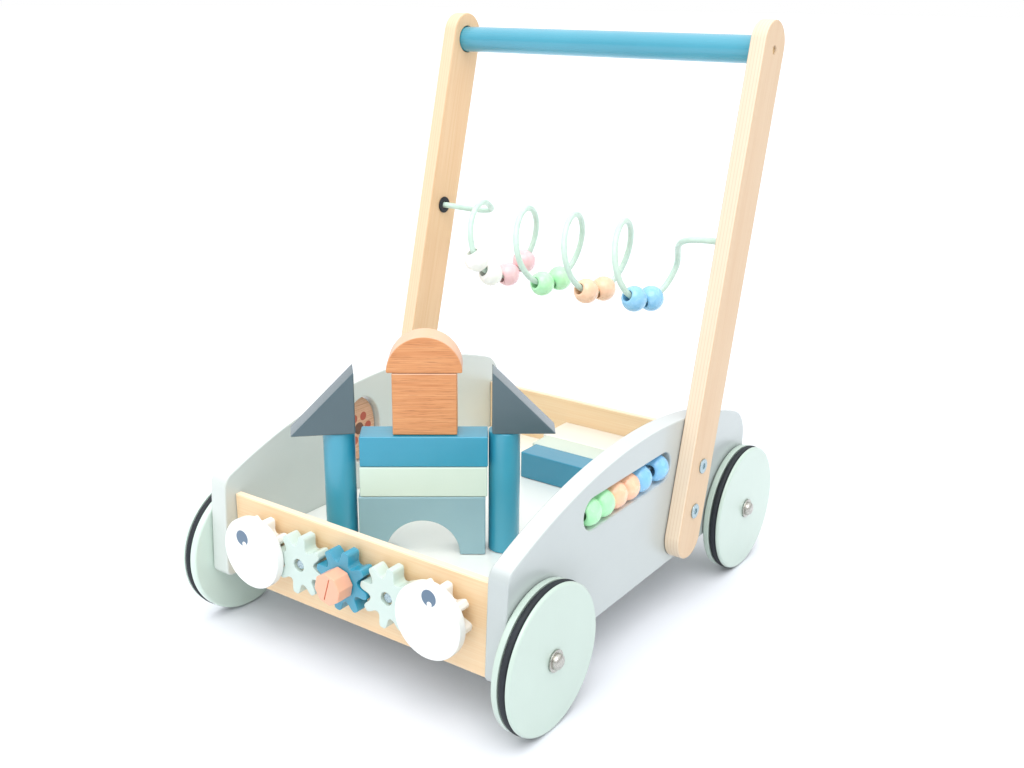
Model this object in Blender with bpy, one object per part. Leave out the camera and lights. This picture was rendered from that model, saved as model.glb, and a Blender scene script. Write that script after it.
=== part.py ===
# Wooden baby activity walker: tray on four wheels, leaning push handle, gears, beads and blocks.
# Units are metres, +Z is up, the front faces -Y, left is -X and right is +X.
# The origin is on the ground under the middle of the wheelbase.
import math

import bpy
import bmesh
from mathutils import Matrix, Vector

# Shared clearances
FIT_GAP = 0.0003
RUN_GAP = 0.0003

# How finely round forms are divided
ROUND_SEGMENTS = 36
BAR_SEGMENTS = 32
COLUMN_SEGMENTS = 24
HOLE_SEGMENTS = 16
PIN_SEGMENTS = 12
HALF_ROUND_STEPS = 16
END_ARC_STEPS = 12
CORNER_STEPS = 5
SMOOTH_ANGLE = math.radians(40)

# Wheels and axles
WHEEL_RADIUS = 0.0500
WHEEL_WIDTH = 0.0138
WHEEL_EDGE = 0.0020
WHEEL_SIDE_GAP = 0.0007
WHEELBASE = 0.2810
TYRE_PROUD = 0.0006
TYRE_WIDTH = 0.0054
TYRE_SHIFT = 0.0012
TYRE_DEPTH = 0.0042
TYRE_CROWN_SHARE = 0.45
AXLE_DIAMETER = 0.0060
WASHER_DIAMETER = 0.0150
WASHER_THICKNESS = 0.0012
DOME_DIAMETER = 0.0110
DOME_HEIGHT = 0.0038
DOME_STEPS = 4

# Side panels
PANEL_OUTER_X = 0.1300
PANEL_THICKNESS = 0.0150
PANEL_BELOW_AXLE = 0.0094
PANEL_HEIGHT = 0.1126
PANEL_FRONT_OVERHANG = 0.0340
PANEL_REAR_OVERHANG = 0.0180
PANEL_FRONT_LEAN = 0.0440
PANEL_ARC_RADIUS = 0.4180
PANEL_ARC_Y = 0.0028
PANEL_ARC_POINTS = 18
FRONT_TOP_ROUND = 0.0110
REAR_TOP_ROUND = 0.0260
BOTTOM_ROUND = 0.0050
PANEL_EDGE = 0.0009
ROUND_REACH = 1.1

# Cross boards of the tray
BOARD_THICKNESS = 0.0060
BOARD_EDGE = 0.0006
FRONT_BOARD_SET_BACK = 0.0120
FRONT_BOARD_HEIGHT = 0.0617
FRONT_BOARD_BELOW_PANEL = 0.0060
REAR_BOARD_SET_BACK = 0.0140
REAR_BOARD_HEIGHT = 0.0640
FLOOR_ABOVE_AXLE = 0.0116

# Bead slot in the right panel
SLOT_END_BEFORE_FOOT = 0.0130
SLOT_LENGTH = 0.1180
SLOT_HEIGHT = 0.0224
SLOT_RISE = 0.0809
SLOT_ROW_DEPTH = 0.0060
SLOT_ROD_LIFT = 0.0012
SLOT_BEAD_DROP = 0.0004
SLOT_ROD_DIAMETER = 0.0040
SLOT_ROD_LET_IN = 0.0050
SLOT_BEAD_STEP = 0.0169
SLOT_FIRST_BEAD_GAP = 0.0030
SLOT_BEAD_END_GAP = 0.0006
SLOT_LAST_BEAD_SHARE = 0.788

# Spinner window in the left panel
WINDOW_FROM_FRONT = 0.1480
WINDOW_RISE = 0.0690
WINDOW_HALF_WIDTH = 0.0200
WINDOW_HALF_HEIGHT = 0.0275
SPINNER_RIM_GAP = 0.0014
SPINNER_THICKNESS = 0.0050
SPINNER_EDGE = 0.0006
SPINNER_PIN_DIAMETER = 0.0020
SPINNER_PIN_LET_IN = 0.0050

# Uprights and handle bar
UPRIGHT_THICKNESS = 0.0120
UPRIGHT_WIDTH = 0.0350
UPRIGHT_EDGE = 0.0009
UPRIGHT_FOOT_FROM_AXLE = 0.0960
UPRIGHT_FOOT_RISE = 0.0214
UPRIGHT_REACH_BACK = 0.0884
UPRIGHT_RISE = 0.3474
HANDLE_DIAMETER = 0.0200
HANDLE_BEFORE_HEAD = 0.0008
HANDLE_BELOW_HEAD = 0.0034
HANDLE_LET_IN = 0.0080

# Gears on the front board
GEAR_TEETH = 8
GEAR_PITCH_RADIUS = 0.0195
GEAR_ROOT_RADIUS = 0.0140
GEAR_TOOTH_SHAPE = (
    (0.0144, 0.0039),
    (0.0195, 0.0033),
    (0.0214, 0.0028),
    (0.0223, 0.0019),
)
GEAR_TIP_RADIUS = 0.0226
GEAR_RISE = 0.0340
GEAR_STAND_OFF = 0.0037
GEAR_THICKNESS = 0.0110
GEAR_BORE_DIAMETER = 0.0092
GEAR_CENTRE_PHASE = math.radians(33.0)
PEG_RECESS = 0.0030
COLLAR_DIAMETER = 0.0140
EYE_DIAMETER = 0.0518
EYE_THICKNESS = 0.0070
EYE_EDGE = 0.0008
BEAK_SIDES = 8
BEAK_CORNER_RADIUS = 0.0113
BEAK_DEPTH = 0.0134
BEAK_PHASE = math.radians(8.0)
BEAK_EDGE = 0.0008

# Beads
BEAD_DIAMETER = 0.0200
BEAD_LENGTH = 0.0166
BEAD_BORE = 0.0090
BEAD_SEGMENTS = 12
BEAD_ROWS = 6

# Bead wire, a round coil lying along X between the uprights
WIRE_DIAMETER = 0.0048
WIRE_RADIUS = 0.0294
WIRE_PITCH = 0.0456
WIRE_FIRST_TOP_X = -0.0965
WIRE_AXIS_BACK = 0.0089
WIRE_AXIS_DROP = 0.0253
WIRE_START_ANGLE = -0.43
WIRE_END_ANGLE = 23.28
WIRE_END_RISE = 0.2102
WIRE_POINTS_PER_LOOP = 24
WIRE_BLEND_POINTS = 16
WIRE_START_PULL = 0.0530
WIRE_START_BEND = 0.1310
WIRE_END_PULL = 0.1500
WIRE_END_BEND = 0.0510
WIRE_LET_IN = 0.0070
WIRE_BEAD_STEP = 0.645
WIRE_BEAD_HANG = 0.0004
# Loop number, angle of the group's middle in that loop, and the colours from left to right
WIRE_BEAD_GROUPS = (
    (0, 2.985, ("white", "white", "pink", "pink")),
    (1, 3.227, ("green", "green")),
    (2, 3.089, ("orange", "orange")),
    (3, 2.995, ("blue", "blue")),
)
SLOT_BEAD_COLOURS = ("green", "green", "orange", "orange", "blue", "blue")
GROMMET_FLANGE_DIAMETER = 0.0135
GROMMET_FLANGE_THICKNESS = 0.0012
GROMMET_BODY_DIAMETER = 0.0100
GROMMET_BORE = 0.0058
GROMMET_LENGTH = 0.0080

# Blocks
BLOCK_UNIT = 0.0223
BLOCK_EDGE = 0.0008
ARCH_CUT_RADIUS = 0.0264
HALF_ROUND_RADIUS = 0.0260
CASTLE_YAW = math.radians(36.5)
CASTLE_CORNER_X = 0.0381
CASTLE_CORNER_BACK = 0.0932
COLUMN_SIDE_GAP = 0.0021
COLUMN_SET_BACK = 0.0125
SQUARE_SET_BACK = 0.0030
SQUARE_SHIFT = 0.0027
MINT_PLANK_SHIFT = 0.0013
BLUE_PLANK_SHIFT = 0.0017
COLUMN_HEIGHT = 0.0912
LEFT_ROOF_SHIFT = 0.0020
LEFT_ROOF_TWIST = math.radians(8.5)
RIGHT_ROOF_SHIFT = 0.0024
REAR_BLOCKS_DEPTH = 0.0824
REAR_BLUE_LEFT_X = -0.0230
REAR_MINT_LEFT_X = -0.0270
REAR_WHITE_LEFT_X = -0.0310

# Sizes that follow from the values above
PANEL_INNER_X = PANEL_OUTER_X - PANEL_THICKNESS
PANEL_MIDDLE_X = PANEL_OUTER_X - PANEL_THICKNESS / 2
TYRE_RADIUS = WHEEL_RADIUS + TYRE_PROUD
AXLE_Z = TYRE_RADIUS * math.cos(math.pi / ROUND_SEGMENTS)
AXLE_Y = WHEELBASE / 2
WHEEL_INNER_X = PANEL_OUTER_X + WHEEL_SIDE_GAP
WHEEL_OUTER_X = WHEEL_INNER_X + WHEEL_WIDTH
PANEL_BOTTOM_Z = AXLE_Z - PANEL_BELOW_AXLE
PANEL_FRONT_Y = -AXLE_Y - PANEL_FRONT_OVERHANG
PANEL_REAR_Y = AXLE_Y + PANEL_REAR_OVERHANG
PANEL_ARC_Z = PANEL_BOTTOM_Z + PANEL_HEIGHT - PANEL_ARC_RADIUS
BOARD_HALF_LENGTH = PANEL_INNER_X - FIT_GAP
FRONT_BOARD_Y = PANEL_FRONT_Y + FRONT_BOARD_SET_BACK
FRONT_BOARD_BOTTOM_Z = PANEL_BOTTOM_Z - FRONT_BOARD_BELOW_PANEL
FRONT_BOARD_TOP_Z = PANEL_BOTTOM_Z + FRONT_BOARD_HEIGHT
REAR_BOARD_Y = PANEL_REAR_Y - REAR_BOARD_SET_BACK
REAR_BOARD_TOP_Z = PANEL_BOTTOM_Z + REAR_BOARD_HEIGHT
FLOOR_TOP_Z = AXLE_Z + FLOOR_ABOVE_AXLE
SLOT_CENTRE_Z = PANEL_BOTTOM_Z + SLOT_RISE
SLOT_ROW_X = PANEL_OUTER_X - SLOT_ROW_DEPTH
SLOT_ROD_Z = SLOT_CENTRE_Z + SLOT_ROD_LIFT
SLOT_BEAD_Z = SLOT_CENTRE_Z - SLOT_BEAD_DROP
SLOT_ROW_STEPS = (len(SLOT_BEAD_COLOURS) - 1) * SLOT_BEAD_STEP
SLOT_ROW_LENGTH = SLOT_ROW_STEPS + BEAD_DIAMETER + SLOT_FIRST_BEAD_GAP + SLOT_BEAD_END_GAP
SLOT_LAST_BEAD_GAP = SLOT_LAST_BEAD_SHARE * (SLOT_LENGTH - SLOT_ROW_LENGTH)
WINDOW_Y = PANEL_FRONT_Y + WINDOW_FROM_FRONT
WINDOW_Z = PANEL_BOTTOM_Z + WINDOW_RISE
UPRIGHT_INNER_X = PANEL_OUTER_X + FIT_GAP
UPRIGHT_FOOT_Y = AXLE_Y - UPRIGHT_FOOT_FROM_AXLE
UPRIGHT_FOOT_Z = PANEL_BOTTOM_Z + UPRIGHT_FOOT_RISE
SLOT_FRONT_Y = UPRIGHT_FOOT_Y - SLOT_END_BEFORE_FOOT - SLOT_LENGTH
UPRIGHT_HEAD_Y = UPRIGHT_FOOT_Y + UPRIGHT_REACH_BACK
UPRIGHT_HEAD_Z = UPRIGHT_FOOT_Z + UPRIGHT_RISE
HANDLE_Y = UPRIGHT_HEAD_Y - HANDLE_BEFORE_HEAD
HANDLE_Z = UPRIGHT_HEAD_Z - HANDLE_BELOW_HEAD
GEAR_Z = PANEL_BOTTOM_Z + GEAR_RISE
GEAR_BACK_Y = FRONT_BOARD_Y - GEAR_STAND_OFF
GEAR_FRONT_Y = GEAR_BACK_Y - GEAR_THICKNESS
GLUED_FRONT_Y = GEAR_FRONT_Y - FIT_GAP
GEAR_SPACING = 2 * GEAR_PITCH_RADIUS
BLOCK_BASE_Z = FLOOR_TOP_Z + FIT_GAP
CASTLE_CORNER_Y = FRONT_BOARD_Y + CASTLE_CORNER_BACK
REAR_BLOCK_FRONT_Y = REAR_BOARD_Y - REAR_BLOCKS_DEPTH
WIRE_RISE = WIRE_PITCH / (2 * math.pi)
WIRE_SPEED = math.hypot(WIRE_RADIUS, WIRE_RISE)
WIRE_CURVE_RADIUS = WIRE_SPEED ** 2 / WIRE_RADIUS
WIRE_END_Y = UPRIGHT_FOOT_Y + UPRIGHT_REACH_BACK * WIRE_END_RISE / UPRIGHT_RISE
WIRE_END_Z = UPRIGHT_FOOT_Z + WIRE_END_RISE
WIRE_AXIS_Y = WIRE_END_Y + WIRE_AXIS_BACK
WIRE_AXIS_Z = WIRE_END_Z - WIRE_AXIS_DROP


def linear(hex_code):
    """Turn an sRGB hex colour into linear values."""
    values = []
    for place in (0, 2, 4):
        level = int(hex_code[place:place + 2], 16) / 255
        if level <= 0.04045:
            values.append(level / 12.92)
        else:
            values.append(((level + 0.055) / 1.055) ** 2.4)
    return (*values, 1.0)


def finish(name, hex_code, roughness, metallic=0.0):
    """Make one plain material."""
    material = bpy.data.materials.new(name)
    material.use_nodes = True
    shader = material.node_tree.nodes["Principled BSDF"]
    shader.inputs["Base Color"].default_value = linear(hex_code)
    shader.inputs["Roughness"].default_value = roughness
    shader.inputs["Metallic"].default_value = metallic
    material.diffuse_color = linear(hex_code)
    return material


def place(mesh_data, name, material, location=(0, 0, 0), rotation=None, smooth=False):
    """Turn a bmesh into a named object with one material."""
    bmesh.ops.recalc_face_normals(mesh_data, faces=mesh_data.faces)
    mesh = bpy.data.meshes.new(name)
    mesh_data.to_mesh(mesh)
    mesh_data.free()
    if smooth:
        mesh.shade_smooth()
        mesh.set_sharp_from_angle(angle=SMOOTH_ANGLE)
    part = bpy.data.objects.new(name, mesh)
    part.data.materials.append(material)
    part.location = location
    if rotation is not None:
        part.rotation_euler = rotation.to_euler()
    bpy.context.scene.collection.objects.link(part)
    return part


def add_boolean(part, tool, operation):
    """Cut or join a hidden tool solid."""
    tool.hide_render = True
    tool.display_type = "WIRE"
    step = part.modifiers.new(tool.name, "BOOLEAN")
    step.operation = operation
    step.solver = "EXACT"
    step.object = tool


def inset(outline, distance):
    """Move each corner of a closed outline inwards by the same distance."""
    moved = []
    count = len(outline)
    for index in range(count):
        before = Vector(outline[index - 1])
        here = Vector(outline[index])
        after = Vector(outline[(index + 1) % count])
        along_in = (here - before).normalized()
        along_out = (after - here).normalized()
        normal_in = Vector((-along_in.y, along_in.x))
        normal_out = Vector((-along_out.y, along_out.x))
        middle = (normal_in + normal_out).normalized()
        moved.append(here + middle * distance / middle.dot(normal_in))
    return moved


def prism(outline, bottom, top, edge, to_space):
    """Extrude an anticlockwise outline, with chamfered rims unless edge is zero.

    to_space maps (first, second, height) to a point.
    """
    mesh_data = bmesh.new()
    layers = [(outline, bottom + edge), (outline, top - edge)]
    if edge > 0:
        small = inset(outline, edge)
        layers = [(small, bottom)] + layers + [(small, top)]
    rings = []
    for points, height in layers:
        ring = []
        for point in points:
            ring.append(mesh_data.verts.new(to_space(point[0], point[1], height)))
        rings.append(ring)
    count = len(outline)
    for low, high in zip(rings, rings[1:]):
        for index in range(count):
            follow = (index + 1) % count
            mesh_data.faces.new((low[index], low[follow], high[follow], high[index]))
    mesh_data.faces.new(list(reversed(rings[0])))
    mesh_data.faces.new(rings[-1])
    return mesh_data


def along_x(first, second, height):
    """Outline in the YZ plane, extruded along X."""
    return (height, first, second)


def along_y(first, second, height):
    """Outline in the XZ plane, extruded towards -Y."""
    return (first, -height, second)


def along_z(first, second, height):
    """Outline in the XY plane, extruded along Z."""
    return (first, second, height)


def lathe(profile, segments, closed, phase=0.0):
    """Turn a profile of (radius, place along X) about the X axis."""
    mesh_data = bmesh.new()
    rings = []
    for radius, offset in profile:
        if radius == 0:
            rings.append([mesh_data.verts.new((offset, 0, 0))])
            continue
        ring = []
        for index in range(segments):
            angle = phase + 2 * math.pi * index / segments
            ring.append(mesh_data.verts.new((offset, radius * math.cos(angle), radius * math.sin(angle))))
        rings.append(ring)
    pairs = list(zip(rings, rings[1:]))
    if closed:
        pairs.append((rings[-1], rings[0]))
    for first, second in pairs:
        for index in range(segments):
            follow = (index + 1) % segments
            corners = []
            for ring, step in ((first, index), (first, follow), (second, follow), (second, index)):
                corner = ring[step % len(ring)]
                if corner not in corners:
                    corners.append(corner)
            mesh_data.faces.new(corners)
    return mesh_data


def rod(name, material, diameter, length, location, segments, turn=None):
    """Plain round rod lying along X, or turned by a matrix."""
    radius = diameter / 2
    profile = ((0, -length / 2), (radius, -length / 2), (radius, length / 2), (0, length / 2))
    return place(lathe(profile, segments, False), name, material, location, turn, True)


def arc(centre, radius, start, end, steps):
    """Points on an arc of a circle, ends included."""
    points = []
    for index in range(steps + 1):
        angle = start + (end - start) * index / steps
        points.append((centre[0] + radius * math.cos(angle), centre[1] + radius * math.sin(angle)))
    return points


def ellipse(centre, half_width, half_height, steps):
    """Points on an ellipse, anticlockwise."""
    points = []
    for index in range(steps):
        angle = 2 * math.pi * index / steps
        points.append((centre[0] + half_width * math.cos(angle), centre[1] + half_height * math.sin(angle)))
    return points


def rounded(corners):
    """Round each (x, y, radius) corner of an outline; radius zero keeps the point."""
    points = []
    count = len(corners)
    for index in range(count):
        here = Vector(corners[index][:2])
        radius = corners[index][2]
        if radius == 0:
            points.append(here)
            continue
        to_before = (Vector(corners[index - 1][:2]) - here).normalized()
        to_after = (Vector(corners[(index + 1) % count][:2]) - here).normalized()
        half = to_before.angle(to_after) / 2
        start = here + to_before * radius / math.tan(half)
        centre = here + (to_before + to_after).normalized() * radius / math.sin(half)
        arm = start - centre
        turn = math.pi - 2 * half
        for step in range(CORNER_STEPS + 1):
            spin = Matrix.Rotation(turn * step / CORNER_STEPS, 2)
            points.append(centre + spin @ arm)
    return points


def arc_height(along):
    """Height of the curved top edge of a side panel."""
    return PANEL_ARC_Z + math.sqrt(PANEL_ARC_RADIUS ** 2 - (along - PANEL_ARC_Y) ** 2)


def panel_outline():
    """Side panel outline in YZ, anticlockwise seen from +X."""
    front_top_z = arc_height(PANEL_FRONT_Y)
    front_top_y = PANEL_FRONT_Y + PANEL_FRONT_LEAN * (front_top_z - PANEL_BOTTOM_Z)
    corners = [
        (PANEL_FRONT_Y, PANEL_BOTTOM_Z, BOTTOM_ROUND),
        (PANEL_REAR_Y, PANEL_BOTTOM_Z, BOTTOM_ROUND),
        (PANEL_REAR_Y, arc_height(PANEL_REAR_Y), REAR_TOP_ROUND),
    ]
    first = PANEL_REAR_Y - ROUND_REACH * REAR_TOP_ROUND
    last = front_top_y + ROUND_REACH * FRONT_TOP_ROUND
    for index in range(PANEL_ARC_POINTS + 1):
        along = first + (last - first) * index / PANEL_ARC_POINTS
        corners.append((along, arc_height(along), 0))
    corners.append((front_top_y, arc_height(front_top_y), FRONT_TOP_ROUND))
    return rounded(corners)


def build_side_panel(name, side, material, tool_material):
    """Curved side panel with its axle holes."""
    outer = side * PANEL_OUTER_X
    inner = side * PANEL_INNER_X
    low, high = min(outer, inner), max(outer, inner)
    panel = place(prism(panel_outline(), low, high, PANEL_EDGE, along_x), name, material)
    for label, along in (("front", -AXLE_Y), ("rear", AXLE_Y)):
        hole = rod(name + "_axle_hole_" + label, tool_material, AXLE_DIAMETER + 2 * FIT_GAP,
                   2 * PANEL_THICKNESS, (side * PANEL_MIDDLE_X, along, AXLE_Z), HOLE_SEGMENTS)
        add_boolean(panel, hole, "DIFFERENCE")
    return panel


def cut_bead_slot(panel, tool_material):
    """Long round-ended slot and the holes that hold its rod."""
    radius = SLOT_HEIGHT / 2
    front = (SLOT_FRONT_Y + radius, SLOT_CENTRE_Z)
    rear = (SLOT_FRONT_Y + SLOT_LENGTH - radius, SLOT_CENTRE_Z)
    outline = arc(rear, radius, -math.pi / 2, math.pi / 2, END_ARC_STEPS)
    outline += arc(front, radius, math.pi / 2, 3 * math.pi / 2, END_ARC_STEPS)
    ends = (PANEL_INNER_X - PANEL_THICKNESS, PANEL_OUTER_X + PANEL_THICKNESS)
    shape = prism(outline, *ends, PANEL_EDGE, along_x)
    add_boolean(panel, place(shape, "bead_slot_cut", tool_material), "DIFFERENCE")
    length = SLOT_LENGTH + 2 * SLOT_ROD_LET_IN
    middle = (SLOT_ROW_X, SLOT_FRONT_Y + SLOT_LENGTH / 2, SLOT_ROD_Z)
    lengthwise = Matrix.Rotation(math.pi / 2, 3, "Z")
    width = SLOT_ROD_DIAMETER + 2 * FIT_GAP
    hole = rod("slot_rod_hole", tool_material, width, length, middle, PIN_SEGMENTS, lengthwise)
    add_boolean(panel, hole, "DIFFERENCE")


def cut_spinner_window(panel, tool_material):
    """Oval window and the holes that hold the spinner pin."""
    outline = ellipse((WINDOW_Y, WINDOW_Z), WINDOW_HALF_WIDTH, WINDOW_HALF_HEIGHT, BAR_SEGMENTS)
    ends = (-PANEL_OUTER_X - PANEL_THICKNESS, -PANEL_INNER_X + PANEL_THICKNESS)
    shape = prism(outline, *ends, PANEL_EDGE, along_x)
    add_boolean(panel, place(shape, "spinner_window_cut", tool_material), "DIFFERENCE")
    length = 2 * (WINDOW_HALF_HEIGHT + SPINNER_PIN_LET_IN)
    hole = rod("spinner_pin_hole", tool_material, SPINNER_PIN_DIAMETER + 2 * FIT_GAP, length,
               (-PANEL_MIDDLE_X, WINDOW_Y, WINDOW_Z), PIN_SEGMENTS, Matrix.Rotation(math.pi / 2, 3, "Y"))
    add_boolean(panel, hole, "DIFFERENCE")


def build_spinner(wood, steel, tool_material):
    """Oval flip disc on its upright pin."""
    half_width = WINDOW_HALF_WIDTH - SPINNER_RIM_GAP
    half_height = WINDOW_HALF_HEIGHT - SPINNER_RIM_GAP
    outline = ellipse((0, 0), half_width, half_height, BAR_SEGMENTS)
    shape = prism(outline, -SPINNER_THICKNESS / 2, SPINNER_THICKNESS / 2, SPINNER_EDGE, along_x)
    centre = (-PANEL_MIDDLE_X, WINDOW_Y, WINDOW_Z)
    disc = place(shape, "spinner_disc", wood, centre)
    upright_turn = Matrix.Rotation(math.pi / 2, 3, "Y")
    width = SPINNER_PIN_DIAMETER + 2 * RUN_GAP
    bore = rod("spinner_bore", tool_material, width, 3 * half_height, centre, PIN_SEGMENTS, upright_turn)
    add_boolean(disc, bore, "DIFFERENCE")
    length = 2 * (WINDOW_HALF_HEIGHT + SPINNER_PIN_LET_IN - FIT_GAP)
    rod("spinner_pin", steel, SPINNER_PIN_DIAMETER, length, centre, PIN_SEGMENTS, upright_turn)


def board(name, material, x_range, y_range, z_range, edge, space=along_z):
    """Rectangular board with chamfered rims."""
    outline = [
        (x_range[0], y_range[0]),
        (x_range[1], y_range[0]),
        (x_range[1], y_range[1]),
        (x_range[0], y_range[1]),
    ]
    return place(prism(outline, z_range[0], z_range[1], edge, space), name, material)


def build_tray_boards(ply, floor_paint, tool_material):
    """Front board with its gear pegs, rear board and floor."""
    across = (-BOARD_HALF_LENGTH, BOARD_HALF_LENGTH)
    front = board("front_board", ply, across, (FRONT_BOARD_BOTTOM_Z, FRONT_BOARD_TOP_Z),
                  (-FRONT_BOARD_Y - BOARD_THICKNESS, -FRONT_BOARD_Y), BOARD_EDGE, along_y)
    for index in range(-2, 3):
        add_boolean(front, build_peg(index, tool_material), "UNION")
    board("rear_board", ply, across, (PANEL_BOTTOM_Z, REAR_BOARD_TOP_Z),
          (-REAR_BOARD_Y - BOARD_THICKNESS, -REAR_BOARD_Y), BOARD_EDGE, along_y)
    floor_y = (FRONT_BOARD_Y + BOARD_THICKNESS + FIT_GAP, REAR_BOARD_Y - FIT_GAP)
    floor_z = (FLOOR_TOP_Z - BOARD_THICKNESS, FLOOR_TOP_Z)
    board("floor_board", floor_paint, across, floor_y, floor_z, BOARD_EDGE)


def build_peg(index, material):
    """Shouldered peg that carries one gear."""
    root = FRONT_BOARD_Y + BOARD_THICKNESS / 2
    shoulder = GEAR_BACK_Y + RUN_GAP
    end = GEAR_FRONT_Y + PEG_RECESS
    collar = COLLAR_DIAMETER / 2
    pin = GEAR_BORE_DIAMETER / 2 - RUN_GAP
    profile = ((0, -root), (collar, -root), (collar, -shoulder), (pin, -shoulder), (pin, -end), (0, -end))
    turn = Matrix.Rotation(-math.pi / 2, 3, "Z")
    centre = (index * GEAR_SPACING, 0, GEAR_Z)
    name = "gear_peg_" + str(index + 3)
    return place(lathe(profile, HOLE_SEGMENTS, False), name, material, centre, turn)


def gear_outline(phase):
    """Closed gear outline with rounded teeth."""
    points = []
    for tooth in range(GEAR_TEETH):
        middle = phase + 2 * math.pi * tooth / GEAR_TEETH
        flank = [(radius, math.asin(half / radius)) for radius, half in GEAR_TOOTH_SHAPE]
        steps = [(radius, -angle) for radius, angle in flank]
        steps.append((GEAR_TIP_RADIUS, 0))
        steps += reversed(flank)
        steps.append((GEAR_ROOT_RADIUS, math.pi / GEAR_TEETH))
        for radius, angle in steps:
            points.append((radius * math.cos(middle + angle), radius * math.sin(middle + angle)))
    return points


def build_gear(name, index, material, tool_material):
    """One gear; neighbours stand half a tooth apart so that they mesh."""
    phase = GEAR_CENTRE_PHASE
    if index % 2:
        phase = math.pi / GEAR_TEETH - GEAR_CENTRE_PHASE
    centre = (index * GEAR_SPACING, 0, GEAR_Z)
    gear = place(prism(gear_outline(phase), -GEAR_BACK_Y, -GEAR_FRONT_Y, 0, along_y), name, material, centre)
    bore = rod(name + "_bore", tool_material, GEAR_BORE_DIAMETER, 3 * GEAR_THICKNESS,
               (centre[0], (GEAR_BACK_Y + GEAR_FRONT_Y) / 2, GEAR_Z), HOLE_SEGMENTS,
               Matrix.Rotation(math.pi / 2, 3, "Z"))
    add_boolean(gear, bore, "DIFFERENCE")


def build_gear_train(white, mint, blue, coral, tool_material):
    """Five meshing gears, two eye discs and the beak."""
    build_gear("gear_eye_left", -2, white, tool_material)
    build_gear("gear_mint_left", -1, mint, tool_material)
    build_gear("gear_centre", 0, blue, tool_material)
    build_gear("gear_mint_right", 1, mint, tool_material)
    build_gear("gear_eye_right", 2, white, tool_material)
    for name, index in (("eye_disc_left", -2), ("eye_disc_right", 2)):
        outline = ellipse((0, 0), EYE_DIAMETER / 2, EYE_DIAMETER / 2, ROUND_SEGMENTS)
        shape = prism(outline, -GLUED_FRONT_Y, -GLUED_FRONT_Y + EYE_THICKNESS, EYE_EDGE, along_y)
        place(shape, name, white, (index * GEAR_SPACING, 0, GEAR_Z))
    outline = arc((0, 0), BEAK_CORNER_RADIUS, BEAK_PHASE, BEAK_PHASE + 2 * math.pi, BEAK_SIDES)[:-1]
    shape = prism(outline, -GLUED_FRONT_Y, -GLUED_FRONT_Y + BEAK_DEPTH, BEAK_EDGE, along_y)
    place(shape, "beak", coral, (0, 0, GEAR_Z))


def wheel_profile(side):
    """Wheel section with rounded rims and the tyre groove, for the left (-1) or right (1) side."""
    bore = AXLE_DIAMETER / 2 + RUN_GAP
    half = WHEEL_WIDTH / 2
    groove = TYRE_WIDTH / 2 + FIT_GAP
    floor = TYRE_RADIUS - TYRE_DEPTH - FIT_GAP
    middle = side * TYRE_SHIFT
    rim = [(bore, half), (WHEEL_RADIUS - WHEEL_EDGE, half), (WHEEL_RADIUS, half - WHEEL_EDGE)]
    profile = [(radius, -offset) for radius, offset in rim]
    profile += [(WHEEL_RADIUS, middle - groove), (floor, middle - groove)]
    profile += [(floor, middle + groove), (WHEEL_RADIUS, middle + groove)]
    return profile + rim[::-1]


def tyre_profile():
    """Round-backed ring that fills the wheel groove."""
    half = TYRE_WIDTH / 2
    low = TYRE_RADIUS - TYRE_DEPTH
    crown = (TYRE_RADIUS, half * TYRE_CROWN_SHARE)
    shoulder = (TYRE_RADIUS - half * (1 - TYRE_CROWN_SHARE), half)
    return [(low, -half), (shoulder[0], -shoulder[1]), (crown[0], -crown[1]), crown, shoulder, (low, half)]


def build_running_gear(mint, rubber, steel):
    """Two axles, four wheels and their tyres."""
    half_step = math.pi / ROUND_SEGMENTS
    for end, along in (("front", -AXLE_Y), ("rear", AXLE_Y)):
        build_axle("axle_" + end, along, steel)
        for label, side in (("left", -1), ("right", 1)):
            middle = WHEEL_INNER_X + WHEEL_WIDTH / 2
            suffix = end + "_" + label
            wheel = lathe(wheel_profile(side), ROUND_SEGMENTS, True, half_step)
            place(wheel, "wheel_" + suffix, mint, (side * middle, along, AXLE_Z), None, True)
            tyre = lathe(tyre_profile(), ROUND_SEGMENTS, True, half_step)
            spot = (side * (middle + TYRE_SHIFT), along, AXLE_Z)
            place(tyre, "tyre_" + suffix, rubber, spot, None, True)


def build_axle(name, along, steel):
    """Axle rod with a washer and a domed cap at each end."""
    rod_radius = AXLE_DIAMETER / 2
    washer = WHEEL_OUTER_X + RUN_GAP
    dome = washer + WASHER_THICKNESS
    half = [(0, dome + DOME_HEIGHT)]
    for step in range(1, DOME_STEPS):
        angle = math.pi / 2 * step / DOME_STEPS
        half.append((DOME_DIAMETER / 2 * math.sin(angle), dome + DOME_HEIGHT * math.cos(angle)))
    half += [(DOME_DIAMETER / 2, dome), (WASHER_DIAMETER / 2, dome)]
    half += [(WASHER_DIAMETER / 2, washer), (rod_radius, washer)]
    profile = [(radius, -offset) for radius, offset in half] + list(reversed(half))
    place(lathe(profile, HOLE_SEGMENTS, False), name, steel, (0, along, AXLE_Z), None, True)


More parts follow.
